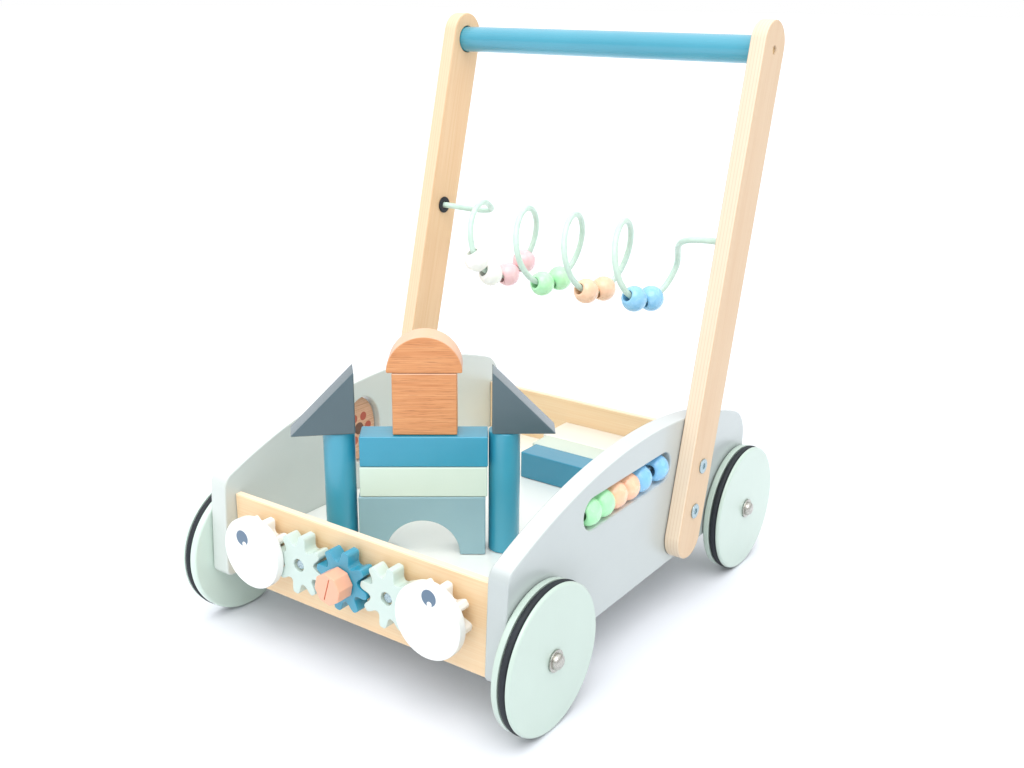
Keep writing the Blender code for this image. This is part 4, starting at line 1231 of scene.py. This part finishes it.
@dataclass
class GearTrain:
    """Five meshing gears on the front board, two eye discs and an eight-sided beak.

    A tooth's flank is given from root to tip as radius, half width and rounding.
    """

    axis_z: float = 0.0750
    back_y: float = -0.1662
    thickness: float = 0.0110
    spacing: float = 0.0390
    teeth: int = 8
    flank: tuple[Triple, ...] = (
        (0.0146, 0.0039, 0.0016),
        (0.0195, 0.0033, 0.0),
        (0.0215, 0.0028, 0.0007),
        (0.0225, 0.0017, 0.0006),
    )
    root: float = 0.0141
    rim: float = 0.0007
    bore: float = 0.0046
    bore_rim: float = 0.0005
    phase: float = math.radians(33.0)
    disc_radius: float = 0.0259
    disc_thickness: float = 0.0070
    disc_rim: float = 0.0011
    pupil_radius: float = 0.0057
    pupil_ink: str = "#4F6B84"
    notch_radius: float = 0.0019
    eyes: dict[Side, tuple[Triple, Triple]] = field(
        default_factory=lambda: {
            Side.LEFT: ((-0.0853, 0.0, 0.0850), (-0.0834, 0.0, 0.0808)),
            Side.RIGHT: ((0.0802, 0.0, 0.0924), (0.0806, 0.0, 0.0882)),
        }
    )
    glue_gap: float = 0.0003
    beak_corner: float = 0.0113
    beak_sides: int = 8
    beak_depth: float = 0.0134
    beak_phase: float = math.radians(8.0)
    beak_rim: float = 0.0008
    mouth_half: float = 0.0082
    mouth_width: float = 0.0005
    mouth_depth: float = 0.0012
    mouth_lean: float = math.radians(72.5)
    screw_radius: float = 0.0036
    screw_height: float = 0.0014
    screw_dome: float = 0.0009
    screw_depth: float = 0.0030

    def build(self) -> None:
        """Make gears, discs, beak and the screws in the open bores."""
        self._gear("gear_centre", 0, GEAR_BLUE)
        self._beak()
        for side in Side:
            self._gear(f"gear_mint_{side.word}", side.value, GEAR_MINT)
            solid = Solid()
            solid.pin(self.screw_radius, (0.0, self.screw_height), (0.0, self.screw_dome), steps=32)
            place = self._place(side.value, self.front_y + self.screw_depth)
            solid.make(f"gear_screw_{side.word}", ZINC, place)
            self._gear(f"gear_eye_{side.word}", 2 * side.value, WHITE_PAINT)
            self._disc(side)

    @property
    def front_y(self) -> float:
        """Front face of the gears."""
        return self.back_y - self.thickness

    def _place(self, index: int, back: float) -> Matrix:
        """Matrix of a piece on one gear axis, zero for the middle one, with its back at a depth."""
        return Facing.Y.at((index * self.spacing, back, self.axis_z))

    def _gear(self, name: str, index: int, finish: Finish) -> None:
        """Cut one gear.

        Args:
            name: Node and body it stands for.
            index: Gear number, zero for the middle one.
            finish: Surface it gets.
        """
        phase = math.pi / self.teeth - self.phase if index % 2 else self.phase
        corners, softness = [], []
        side = [(radius, math.asin(half / radius), soft) for radius, half, soft in self.flank]
        steps = [(radius, -angle, soft) for radius, angle, soft in side] + side[::-1]
        steps.append((self.root, math.pi / self.teeth, 0.0))
        for tooth in range(self.teeth):
            middle = phase + FULL_TURN * tooth / self.teeth
            for radius, angle, soft in steps:
                corners.append((radius * math.cos(middle + angle), radius * math.sin(middle + angle)))
                softness.append(soft)
        solid = Solid()
        solid.prism(solid.outline(corners, softness), self.thickness, self.rim, steps=2)
        solid.punch(lambda grow, z: solid.circle((0, 0), self.bore + grow, z, steps=40), self.bore_rim)
        solid.make(f"cut_{name}", finish, self._place(index, self.back_y), name, name)

    def _disc(self, side: Side) -> None:
        """Make one eye disc with its printed pupil and the white notch in it.

        Args:
            side: Left or right.
        """
        solid = Solid()
        disc = solid.circle((0, 0), self.disc_radius, steps=80)
        solid.prism(disc, self.disc_thickness, self.disc_rim)
        pupil, notch = self.eyes[side]
        spots = ((pupil, self.pupil_radius, self.pupil_ink), (notch, self.notch_radius, ""))
        eye = Printed(f"printed_eye_{side.word}", EYE_PAINT, (1.0, 0.0, 1.0), spots)
        node = f"eye_disc_{side.word}"
        place = self._place(2 * side.value, self.front_y - self.glue_gap)
        solid.make(f"printed_{node}", eye, place, node, f"gear_eye_{side.word}")

    def _beak(self) -> None:
        """Make the eight-sided beak with its mouth groove."""
        turns = [self.beak_phase + FULL_TURN * side / self.beak_sides for side in range(self.beak_sides)]
        corners = [(self.beak_corner * math.cos(a), self.beak_corner * math.sin(a)) for a in turns]
        solid = Solid()
        solid.prism(solid.outline(corners), self.beak_depth, self.beak_rim)
        reach = Vector((math.cos(self.mouth_lean), math.sin(self.mouth_lean))) * self.mouth_half
        solid.sink(
            lambda z: solid.stadium(-reach, reach, self.mouth_width, z, steps=24), self.mouth_depth
        )
        place = self._place(0, self.front_y - self.glue_gap)
        solid.make("glued_beak", CORAL_PAINT, place, "beak", "gear_centre")


@dataclass(frozen=True)
class Bead:
    """Turned bead with flat ends and a straight bore, dipped in lacquer."""

    colour: BeadColour
    in_slot: bool = False
    radius: float = 0.0100
    bore: float = 0.0045
    half_length: float = 0.0083

    def build(self, name: str, centre: Triple, axis: Triple) -> None:
        """Turn the bead and thread it on its body.

        Args:
            name: Node and body it stands for.
            centre: Middle of the bead.
            axis: Direction of its bore.
        """
        half = self.half_length
        flat = math.sqrt(self.radius**2 - half**2)
        solid = Solid()
        first = solid.vert(flat, -half)
        last = solid.arc(first, (0.0, 0.0), 2 * math.atan2(half, flat), steps=28)
        solid.join(last, solid.vert(self.bore, half), solid.vert(self.bore, -half), first)
        solid.revolve(steps=48)
        word = self.colour.word
        kind = "slot_bead" if self.in_slot else "bead"
        # Beads in the slot take the two darker tones, as painted shade for the slot they sit in.
        light, dark = self.colour.value[1:3] if self.in_slot else self.colour.value[:2]
        coat = lacquer(f"{word}_{kind}_lacquer", dark, light)
        place = turning_place(centre, axis)
        solid.make(f"lacquered_{name}", coat, place, name, name)


@dataclass
class BeadMaze:
    """Coiled wire between the uprights, its rubber grommets and ten beads."""

    wire_radius: float = 0.0024
    wire_steps: int = 5
    coil_radius: float = 0.0294
    pitch: float = 0.0456
    first_top_x: float = -0.0965
    axis: Point = (0.1069, 0.2473)
    start_angle: float = -0.43
    end_angle: float = 23.28
    end_point: Point = (0.0980, 0.2726)
    inner_x: float = 0.1303
    let_in: float = 0.0070
    start_pull: float = 0.0530
    start_bend: float = 0.1310
    end_pull: float = 0.1500
    end_bend: float = 0.0510
    loop_points: int = 64
    blend_points: int = 44
    bead_step: float = 0.645
    bead_hang: float = 0.0004
    flange_radius: float = 0.00675
    flange_thickness: float = 0.0012
    grommet_radius: float = 0.0050
    grommet_bore: float = 0.0029
    grommet_length: float = 0.0077
    grommet_gap: float = 0.0003
    grommet_rims: tuple[float, ...] = (0.0004, 0.0007, 0.0002, 0.0, 0.0, 0.0)
    loops: tuple[tuple[float, tuple[BeadColour, ...]], ...] = (
        (2.985, (BeadColour.WHITE, BeadColour.WHITE, BeadColour.PINK, BeadColour.PINK)),
        (3.227, (BeadColour.GREEN, BeadColour.GREEN)),
        (3.089, (BeadColour.ORANGE, BeadColour.ORANGE)),
        (2.995, (BeadColour.BLUE, BeadColour.BLUE)),
    )

    def build(self) -> None:
        """Make wire, grommets and beads; each loop holds its beads round one angle."""
        self._wire()
        for side in Side:
            self._grommet(side)
        for loop, (middle, colours) in enumerate(self.loops):
            start = FULL_TURN * loop + middle - self.bead_step * (len(colours) - 1) / 2
            for index, colour in enumerate(colours):
                angle = start + self.bead_step * index
                inward = Vector((0, math.sin(angle), -math.cos(angle)))
                centre = self._point(angle) - inward * self.bead_hang
                name = f"wire_bead_{colour.word}_{index % 2 + 1}"
                Bead(colour).build(name, tuple(centre), tuple(self._tangent(angle)))

    @property
    def rise(self) -> float:
        """Advance of the coil per radian."""
        return self.pitch / FULL_TURN

    def _point(self, angle: float) -> Vector:
        """Point on the coil; angle zero is the top of the first loop.

        Args:
            angle: Angle along the coil.

        Returns:
            The point.
        """
        y, z = self.axis
        return Vector((
            self.first_top_x + self.rise * angle,
            y - self.coil_radius * math.sin(angle),
            z + self.coil_radius * math.cos(angle),
        ))

    def _tangent(self, angle: float) -> Vector:
        """Direction of travel along the coil, length one."""
        radius = self.coil_radius
        return Vector((self.rise, -radius * math.cos(angle), -radius * math.sin(angle))).normalized()

    def _blend(self, start: Vector, start_pull: Vector, end: Vector, end_pull: Vector) -> list[Vector]:
        """Smooth curve between two points, end points left out.

        Args:
            start: First point.
            start_pull: Direction and pull there.
            end: Last point.
            end_pull: Direction and pull there.

        Returns:
            The points between.
        """
        points = []
        for index in range(1, self.blend_points):
            share = index / self.blend_points
            square, cube = share**2, share**3
            points.append(
                (2 * cube - 3 * square + 1) * start
                + (cube - 2 * square + share) * start_pull
                + (3 * square - 2 * cube) * end
                + (cube - square) * end_pull
            )
        return points

    def _path(self) -> list[Vector]:
        """Centre line of the wire from left to right.

        Returns:
            Its points.
        """
        inside = self.inner_x + self.let_in
        clear = self.inner_x - 2 * self.flange_thickness
        outward = Vector(RIGHTWARD)
        far_left, left, right, far_right = (
            Vector((x, *self.end_point)) for x in (-inside, -clear, clear, inside)
        )
        span = self.end_angle - self.start_angle
        count = round(span / FULL_TURN * self.loop_points)
        coil = [self._point(self.start_angle + span * step / count) for step in range(count + 1)]
        lead_in = self.start_bend * self._tangent(self.start_angle)
        lead_out = self.end_bend * self._tangent(self.end_angle)
        entry = self._blend(left, self.start_pull * outward, coil[0], lead_in)
        leave = self._blend(coil[-1], lead_out, right, self.end_pull * outward)
        return [far_left, left, *entry, *coil, *leave, right, far_right]

    def _wire(self) -> None:
        """Run the coated wire along its path."""
        curve = bpy.data.curves.new("coated_bead_wire", "CURVE")
        curve.dimensions = "3D"
        curve.bevel_depth = self.wire_radius
        curve.bevel_resolution = self.wire_steps
        curve.use_fill_caps = True
        path = self._path()
        spline = curve.splines.new("POLY")
        spline.points.add(len(path) - 1)
        for target, point in zip(spline.points, path):
            target.co = (*point, 1.0)
        spline.use_smooth = True
        wire = link("coated_bead_wire", curve)
        settle(wire, MINT_WIRE, "bead_wire", "frame")

    def _grommet(self, side: Side) -> None:
        """Turn one rubber grommet.

        Args:
            side: Left or right.
        """
        face = -self.grommet_gap
        brim, end = face - self.flange_thickness, self.grommet_length
        corners = [(self.grommet_bore, brim), (self.flange_radius, brim), (self.flange_radius, face)]
        corners += [(self.grommet_radius, face), (self.grommet_radius, end), (self.grommet_bore, end)]
        solid = Solid()
        solid.turned(corners, self.grommet_rims, steps=40)
        place = turning_place((side.value * self.inner_x, *self.end_point), (side.value, 0, 0))
        name = f"grommet_{side.word}"
        solid.make(f"rubber_{name}", RUBBER, place, name)


@dataclass
class SlotBeads:
    """Steel rod in the slot of the right panel, with six beads on it."""

    x: float = 0.1240
    bead_z: float = 0.1215
    rod_z: float = 0.1231
    first: float = -0.0735
    step: float = 0.0169
    last_gap: float = 0.0078
    rod_radius: float = 0.0020
    rod_ends: Point = (-0.0912, 0.0362)
    rod_rim: float = 0.0003
    pairs: tuple[BeadColour, ...] = (BeadColour.GREEN, BeadColour.ORANGE, BeadColour.BLUE)

    def build(self) -> None:
        """Make rod and beads; the last bead stands a little apart."""
        solid = Solid()
        solid.pin(self.rod_radius, self.rod_ends, (self.rod_rim, self.rod_rim), steps=32)
        place = turning_place((self.x, 0, self.rod_z), REARWARD)
        solid.make("turned_slot_rod", STEEL, place, "slot_rod")
        row = [colour for colour in self.pairs for _ in range(2)]
        for index, colour in enumerate(row):
            gap = self.last_gap if index == len(row) - 1 else 0.0
            along = self.first + self.step * index + gap
            name = f"slot_bead_{colour.word}_{index % 2 + 1}"
            Bead(colour, in_slot=True).build(name, (self.x, along, self.bead_z), REARWARD)


@dataclass
class SpinnerWindow:
    """Oval flip piece on its pin in the left panel, with a plain flower of dots on both faces."""

    centre: Triple = (-0.1225, -0.0265, 0.1100)
    half: Point = (0.0186, 0.0261)
    thickness: float = 0.0050
    rim: float = 0.0009
    wood: NaturalBeech = NaturalBeech("oiled_flip_piece", ALONG_Y, "#E6BEA0", "#DEB090", "#CE9A76")
    petal_count: int = 6
    petal_reach: float = 0.0105
    petal_radius: float = 0.0036
    petal_ink: str = "#B4533F"
    heart_radius: float = 0.0050
    heart_ink: str = "#6B4433"

    def build(self) -> None:
        """Make the flip piece and dress its pin."""
        x, y, z = self.centre
        solid = Solid()
        loop = solid.oval((y, z), self.half, -self.thickness / 2)
        solid.prism(loop, self.thickness, self.rim)
        spots = []
        for index in range(self.petal_count):
            angle = FULL_TURN * index / self.petal_count
            petal = (x, y + self.petal_reach * math.cos(angle), z + self.petal_reach * math.sin(angle))
            spots.append((petal, self.petal_radius, self.petal_ink))
        spots.append((self.centre, self.heart_radius, self.heart_ink))
        finish = Printed("printed_flip_piece", self.wood, (0.0, 1.0, 1.0), tuple(spots))
        place = Facing.X.at((x, 0, 0))
        solid.make("oval_flip_piece", finish, place, "spinner_disc", "spinner")
        dress_node("spinner_pin", STEEL)


@dataclass
class BlockPile:
    """Castle of nine blocks on the tray floor, and three planks lying behind it."""

    unit: float = 0.0223
    edge: float = 0.0010
    gap: float = 0.0003
    base: float = 0.0623
    corner: Point = (0.0381, -0.0693)
    arch_radius: float = 0.0264
    half_round: float = 0.0260
    square_back: float = 0.0030
    square_shift: float = 0.0027
    mint_shift: float = 0.0013
    blue_shift: float = 0.0017
    column_gap: float = 0.0021
    column_back: float = 0.0125
    column_height: float = 0.0912
    roof_shift: dict[Side, float] = field(
        default_factory=lambda: {Side.LEFT: 0.0020, Side.RIGHT: 0.0024}
    )
    roof_twist: dict[Side, float] = field(
        default_factory=lambda: {Side.LEFT: math.radians(8.5), Side.RIGHT: 0.0}
    )
    rear_rows: tuple[tuple[str, Finish, str, float, float, float], ...] = (
        ("blue", PLANK_BLUE, "block_blue_paint", -0.0230, 0.0621, 0.0844),
        ("mint", PLANK_MINT, "mint_paint", -0.0270, 0.0847, 0.1070),
        ("white", PLANK_WHITE, "white_paint", -0.0310, 0.1073, 0.1442),
    )

    def build(self) -> None:
        """Stack the castle, put up its towers and lay the planks against the rear board."""
        middle = -2 * self.unit
        self._arch(self._place(middle, self.base))
        level = self.base + 2 * self.unit + self.gap
        storeys = (
            ("plank_mint", BLOCK_MINT, "mint_paint", self.mint_shift, 4, 1, 0.0),
            ("plank_blue", BLOCK_BLUE, "block_blue_paint", self.blue_shift, 4, 1, 0.0),
            ("square", BLOCK_WOOD, "natural_beech", self.square_shift, 2, 2, self.square_back),
        )
        for word, finish, slot, shift, long, high, back in storeys:
            half, height = long * self.unit / 2, high * self.unit
            solid = Solid()
            corners = [(-half, 0), (half, 0), (half, height), (-half, height)]
            loop = solid.outline(corners, height=-back - self.unit)
            self._cut(solid, loop, word, finish, self._place(middle + shift, level))
            level += height + self.gap
        self._half_round(self._place(middle + self.square_shift, level))
        for side in Side:
            self._tower(side)
        for word, finish, slot, left, near, far in self.rear_rows:
            right = left + 4 * self.unit
            solid = Solid()
            loop = solid.outline([(left, near), (right, near), (right, far), (left, far)])
            place = Matrix.Translation((0, 0, self.base))
            self._cut(solid, loop, f"rear_{word}", finish, place)

    def _place(self, along: float, height: float, twist: float = 0.0) -> Matrix:
        """Matrix of a castle block that stands on a point of the front line.

        Args:
            along: Place along the castle's front line.
            height: Height of its foot.
            twist: Angle it is turned out of that line.

        Returns:
            The matrix.
        """
        castle = Matrix.Translation((*self.corner, 0)) @ Matrix.Rotation(CASTLE_YAW, 4, "Z")
        stand = Matrix.Translation((along, 0, height)) @ Matrix.Rotation(twist, 4, "Z")
        return castle @ stand @ Facing.Y.at(ORIGIN)

    def _cut(
        self, solid: Solid, loop: Loop, word: str, finish: Finish, place: Matrix
    ) -> None:
        """Thicken a block's outline by one unit and finish it.

        Args:
            solid: Mesh that holds the outline.
            loop: Edges of the outline.
            word: Word of the node and body it stands for.
            finish: Surface it gets.
            place: Matrix of the block.
        """
        solid.prism(loop, self.unit, self.edge)
        node = f"block_{word}"
        solid.make(f"cut_{node}", finish, place, node, node)

    def _arch(self, place: Matrix) -> None:
        """Cut the bridge block with its round arch.

        Args:
            place: Matrix of the block.
        """
        solid = Solid()
        half, height = 2 * self.unit, 2 * self.unit
        first = solid.vert(-self.arch_radius, 0, -self.unit)
        last = solid.arc(first, (0.0, 0.0), -math.pi, steps=40)
        corners = [(half, 0), (half, height), (-half, height), (-half, 0)]
        loop = solid.join(last, *(solid.vert(a, b, -self.unit) for a, b in corners), first)
        self._cut(solid, loop, "arch", ARCH_BLUE, place)

    def _half_round(self, place: Matrix) -> None:
        """Cut the half-round roof block.

        Args:
            place: Matrix of the block.
        """
        solid = Solid()
        first = solid.vert(self.half_round, 0, -self.square_back - self.unit)
        loop = solid.join(solid.arc(first, (0.0, 0.0), math.pi, steps=48), first)
        self._cut(solid, loop, "half_round", BLOCK_WOOD, place)

    def _tower(self, side: Side) -> None:
        """Turn one column and cut the triangle on it, upright leg towards the middle.

        Args:
            side: Left or right.
        """
        radius, height = self.unit / 2, self.column_height
        along = self.column_gap + radius
        if side is Side.LEFT:
            along = -4 * self.unit - along
        foot = self._place(along, self.base) @ Vector((0, 0, -self.column_back))
        solid = Solid()
        solid.pin(radius, (0.0, height), (self.edge, self.edge))
        node = f"block_column_{side.word}"
        place = Matrix.Translation(foot)
        solid.make(f"turned_{node}", COLUMN_BLUE, place, node, node)
        leg = 2 * self.unit
        left = -leg if side is Side.LEFT else 0
        corners = [(left, 0), (left + leg, 0), (0, leg)]
        solid = Solid()
        loop = solid.outline(corners, height=-(self.column_back - radius) - self.unit)
        inner = along - side.value * radius + self.roof_shift[side]
        place = self._place(inner, self.base + height + self.gap, self.roof_twist[side])
        self._cut(solid, loop, f"triangle_{side.word}", SLATE, place)


@dataclass
class Studio:
    """White sweep, soft light and the camera that took the picture."""

    camera_place: Triple = (0.48314, -0.67166, 0.44185)
    yaw: float = math.radians(35.0917)
    pitch: float = math.radians(-18.5187)
    roll: float = math.radians(0.5540)
    focal_share: float = 1162.21 / 1024
    sensor: float = 36.0
    clip_start: float = 0.01
    floor_size: float = 60.0
    floor_drop: float = 0.0003
    sky_low: float = 0.55
    sky_high: float = 1.78
    sky_tint: str = "#FBFDFF"
    key_strength: float = 1.30
    key_toward: Triple = (0.24, -0.46, 0.85)
    key_spread: float = math.radians(50.0)

    def build(self) -> None:
        """Set up floor, light and camera."""
        self._floor()
        self._world()
        self._key_light()
        self._camera()
        bpy.context.scene.view_settings.view_transform = "Standard"

    def _floor(self) -> None:
        """Lay the pale floor."""
        bm = bmesh.new()
        bmesh.ops.create_grid(bm, x_segments=1, y_segments=1, size=self.floor_size / 2)
        bmesh.ops.translate(bm, verts=bm.verts, vec=(0, 0, -self.floor_drop))
        mesh = bpy.data.meshes.new("studio_floor")
        bm.to_mesh(mesh)
        bm.free()
        mesh.materials.append(material_of(PAPER))
        link("studio_floor", mesh)

    def _world(self) -> None:
        """Sky light that grows towards the top and that the camera sees as white."""
        world = bpy.data.worlds.new("white_studio")
        bpy.context.scene.world = world
        graph = Graph(world)
        graph.tree.nodes.clear()
        height = graph.add("SeparateXYZ", {"Vector": graph.coords("Generated")}).outputs["Z"]
        strength = graph.stretch(height, (0.0, 1.0), (self.sky_low, self.sky_high))
        light = graph.add("Background", {"Color": linear(self.sky_tint), "Strength": strength})
        seen = graph.add("Background", {"Color": WHITE, "Strength": 1.0})
        camera_ray = graph.add("LightPath").outputs["Is Camera Ray"]
        mixed = graph.add("MixShader", {0: camera_ray, 1: light.outputs[0], 2: seen.outputs[0]})
        graph.add("OutputWorld", {"Surface": mixed.outputs["Shader"]})

    def _key_light(self) -> None:
        """Hang one very broad, even light above the front, a little to the right."""
        light = bpy.data.lights.new("broad_key_light", "SUN")
        light.energy = self.key_strength
        light.angle = self.key_spread
        lamp = link("broad_key_light", light)
        lamp.rotation_euler = Vector(self.key_toward).to_track_quat("Z", "Y").to_euler()

    def _camera(self) -> None:
        """Put the camera where the picture was taken."""
        data = bpy.data.cameras.new("picture_camera")
        data.sensor_width = self.sensor
        data.lens = self.focal_share * self.sensor
        data.clip_start = self.clip_start
        camera = link("picture_camera", data)
        level = math.cos(self.pitch)
        forward = Vector((-math.sin(self.yaw) * level, math.cos(self.yaw) * level, math.sin(self.pitch)))
        right = forward.cross(Vector(UP)).normalized()
        upward = right.cross(forward)
        cos, sin = math.cos(self.roll), math.sin(self.roll)
        columns = (cos * right + sin * upward, cos * upward - sin * right, -forward)
        turn = Matrix(columns).transposed().to_4x4()
        camera.matrix_world = Matrix.Translation(self.camera_place) @ turn
        bpy.context.scene.camera = camera


def main() -> None:
    """Build every sub-assembly in order."""
    logging.basicConfig(level=logging.INFO, format="%(name)s: %(message)s")
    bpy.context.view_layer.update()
    RunningGear().build()
    SidePanels().build()
    TrayBoards().build()
    PushHandle().build()
    GearTrain().build()
    BeadMaze().build()
    SlotBeads().build()
    SpinnerWindow().build()
    BlockPile().build()
    Studio().build()


if __name__ == "__main__":
    main()
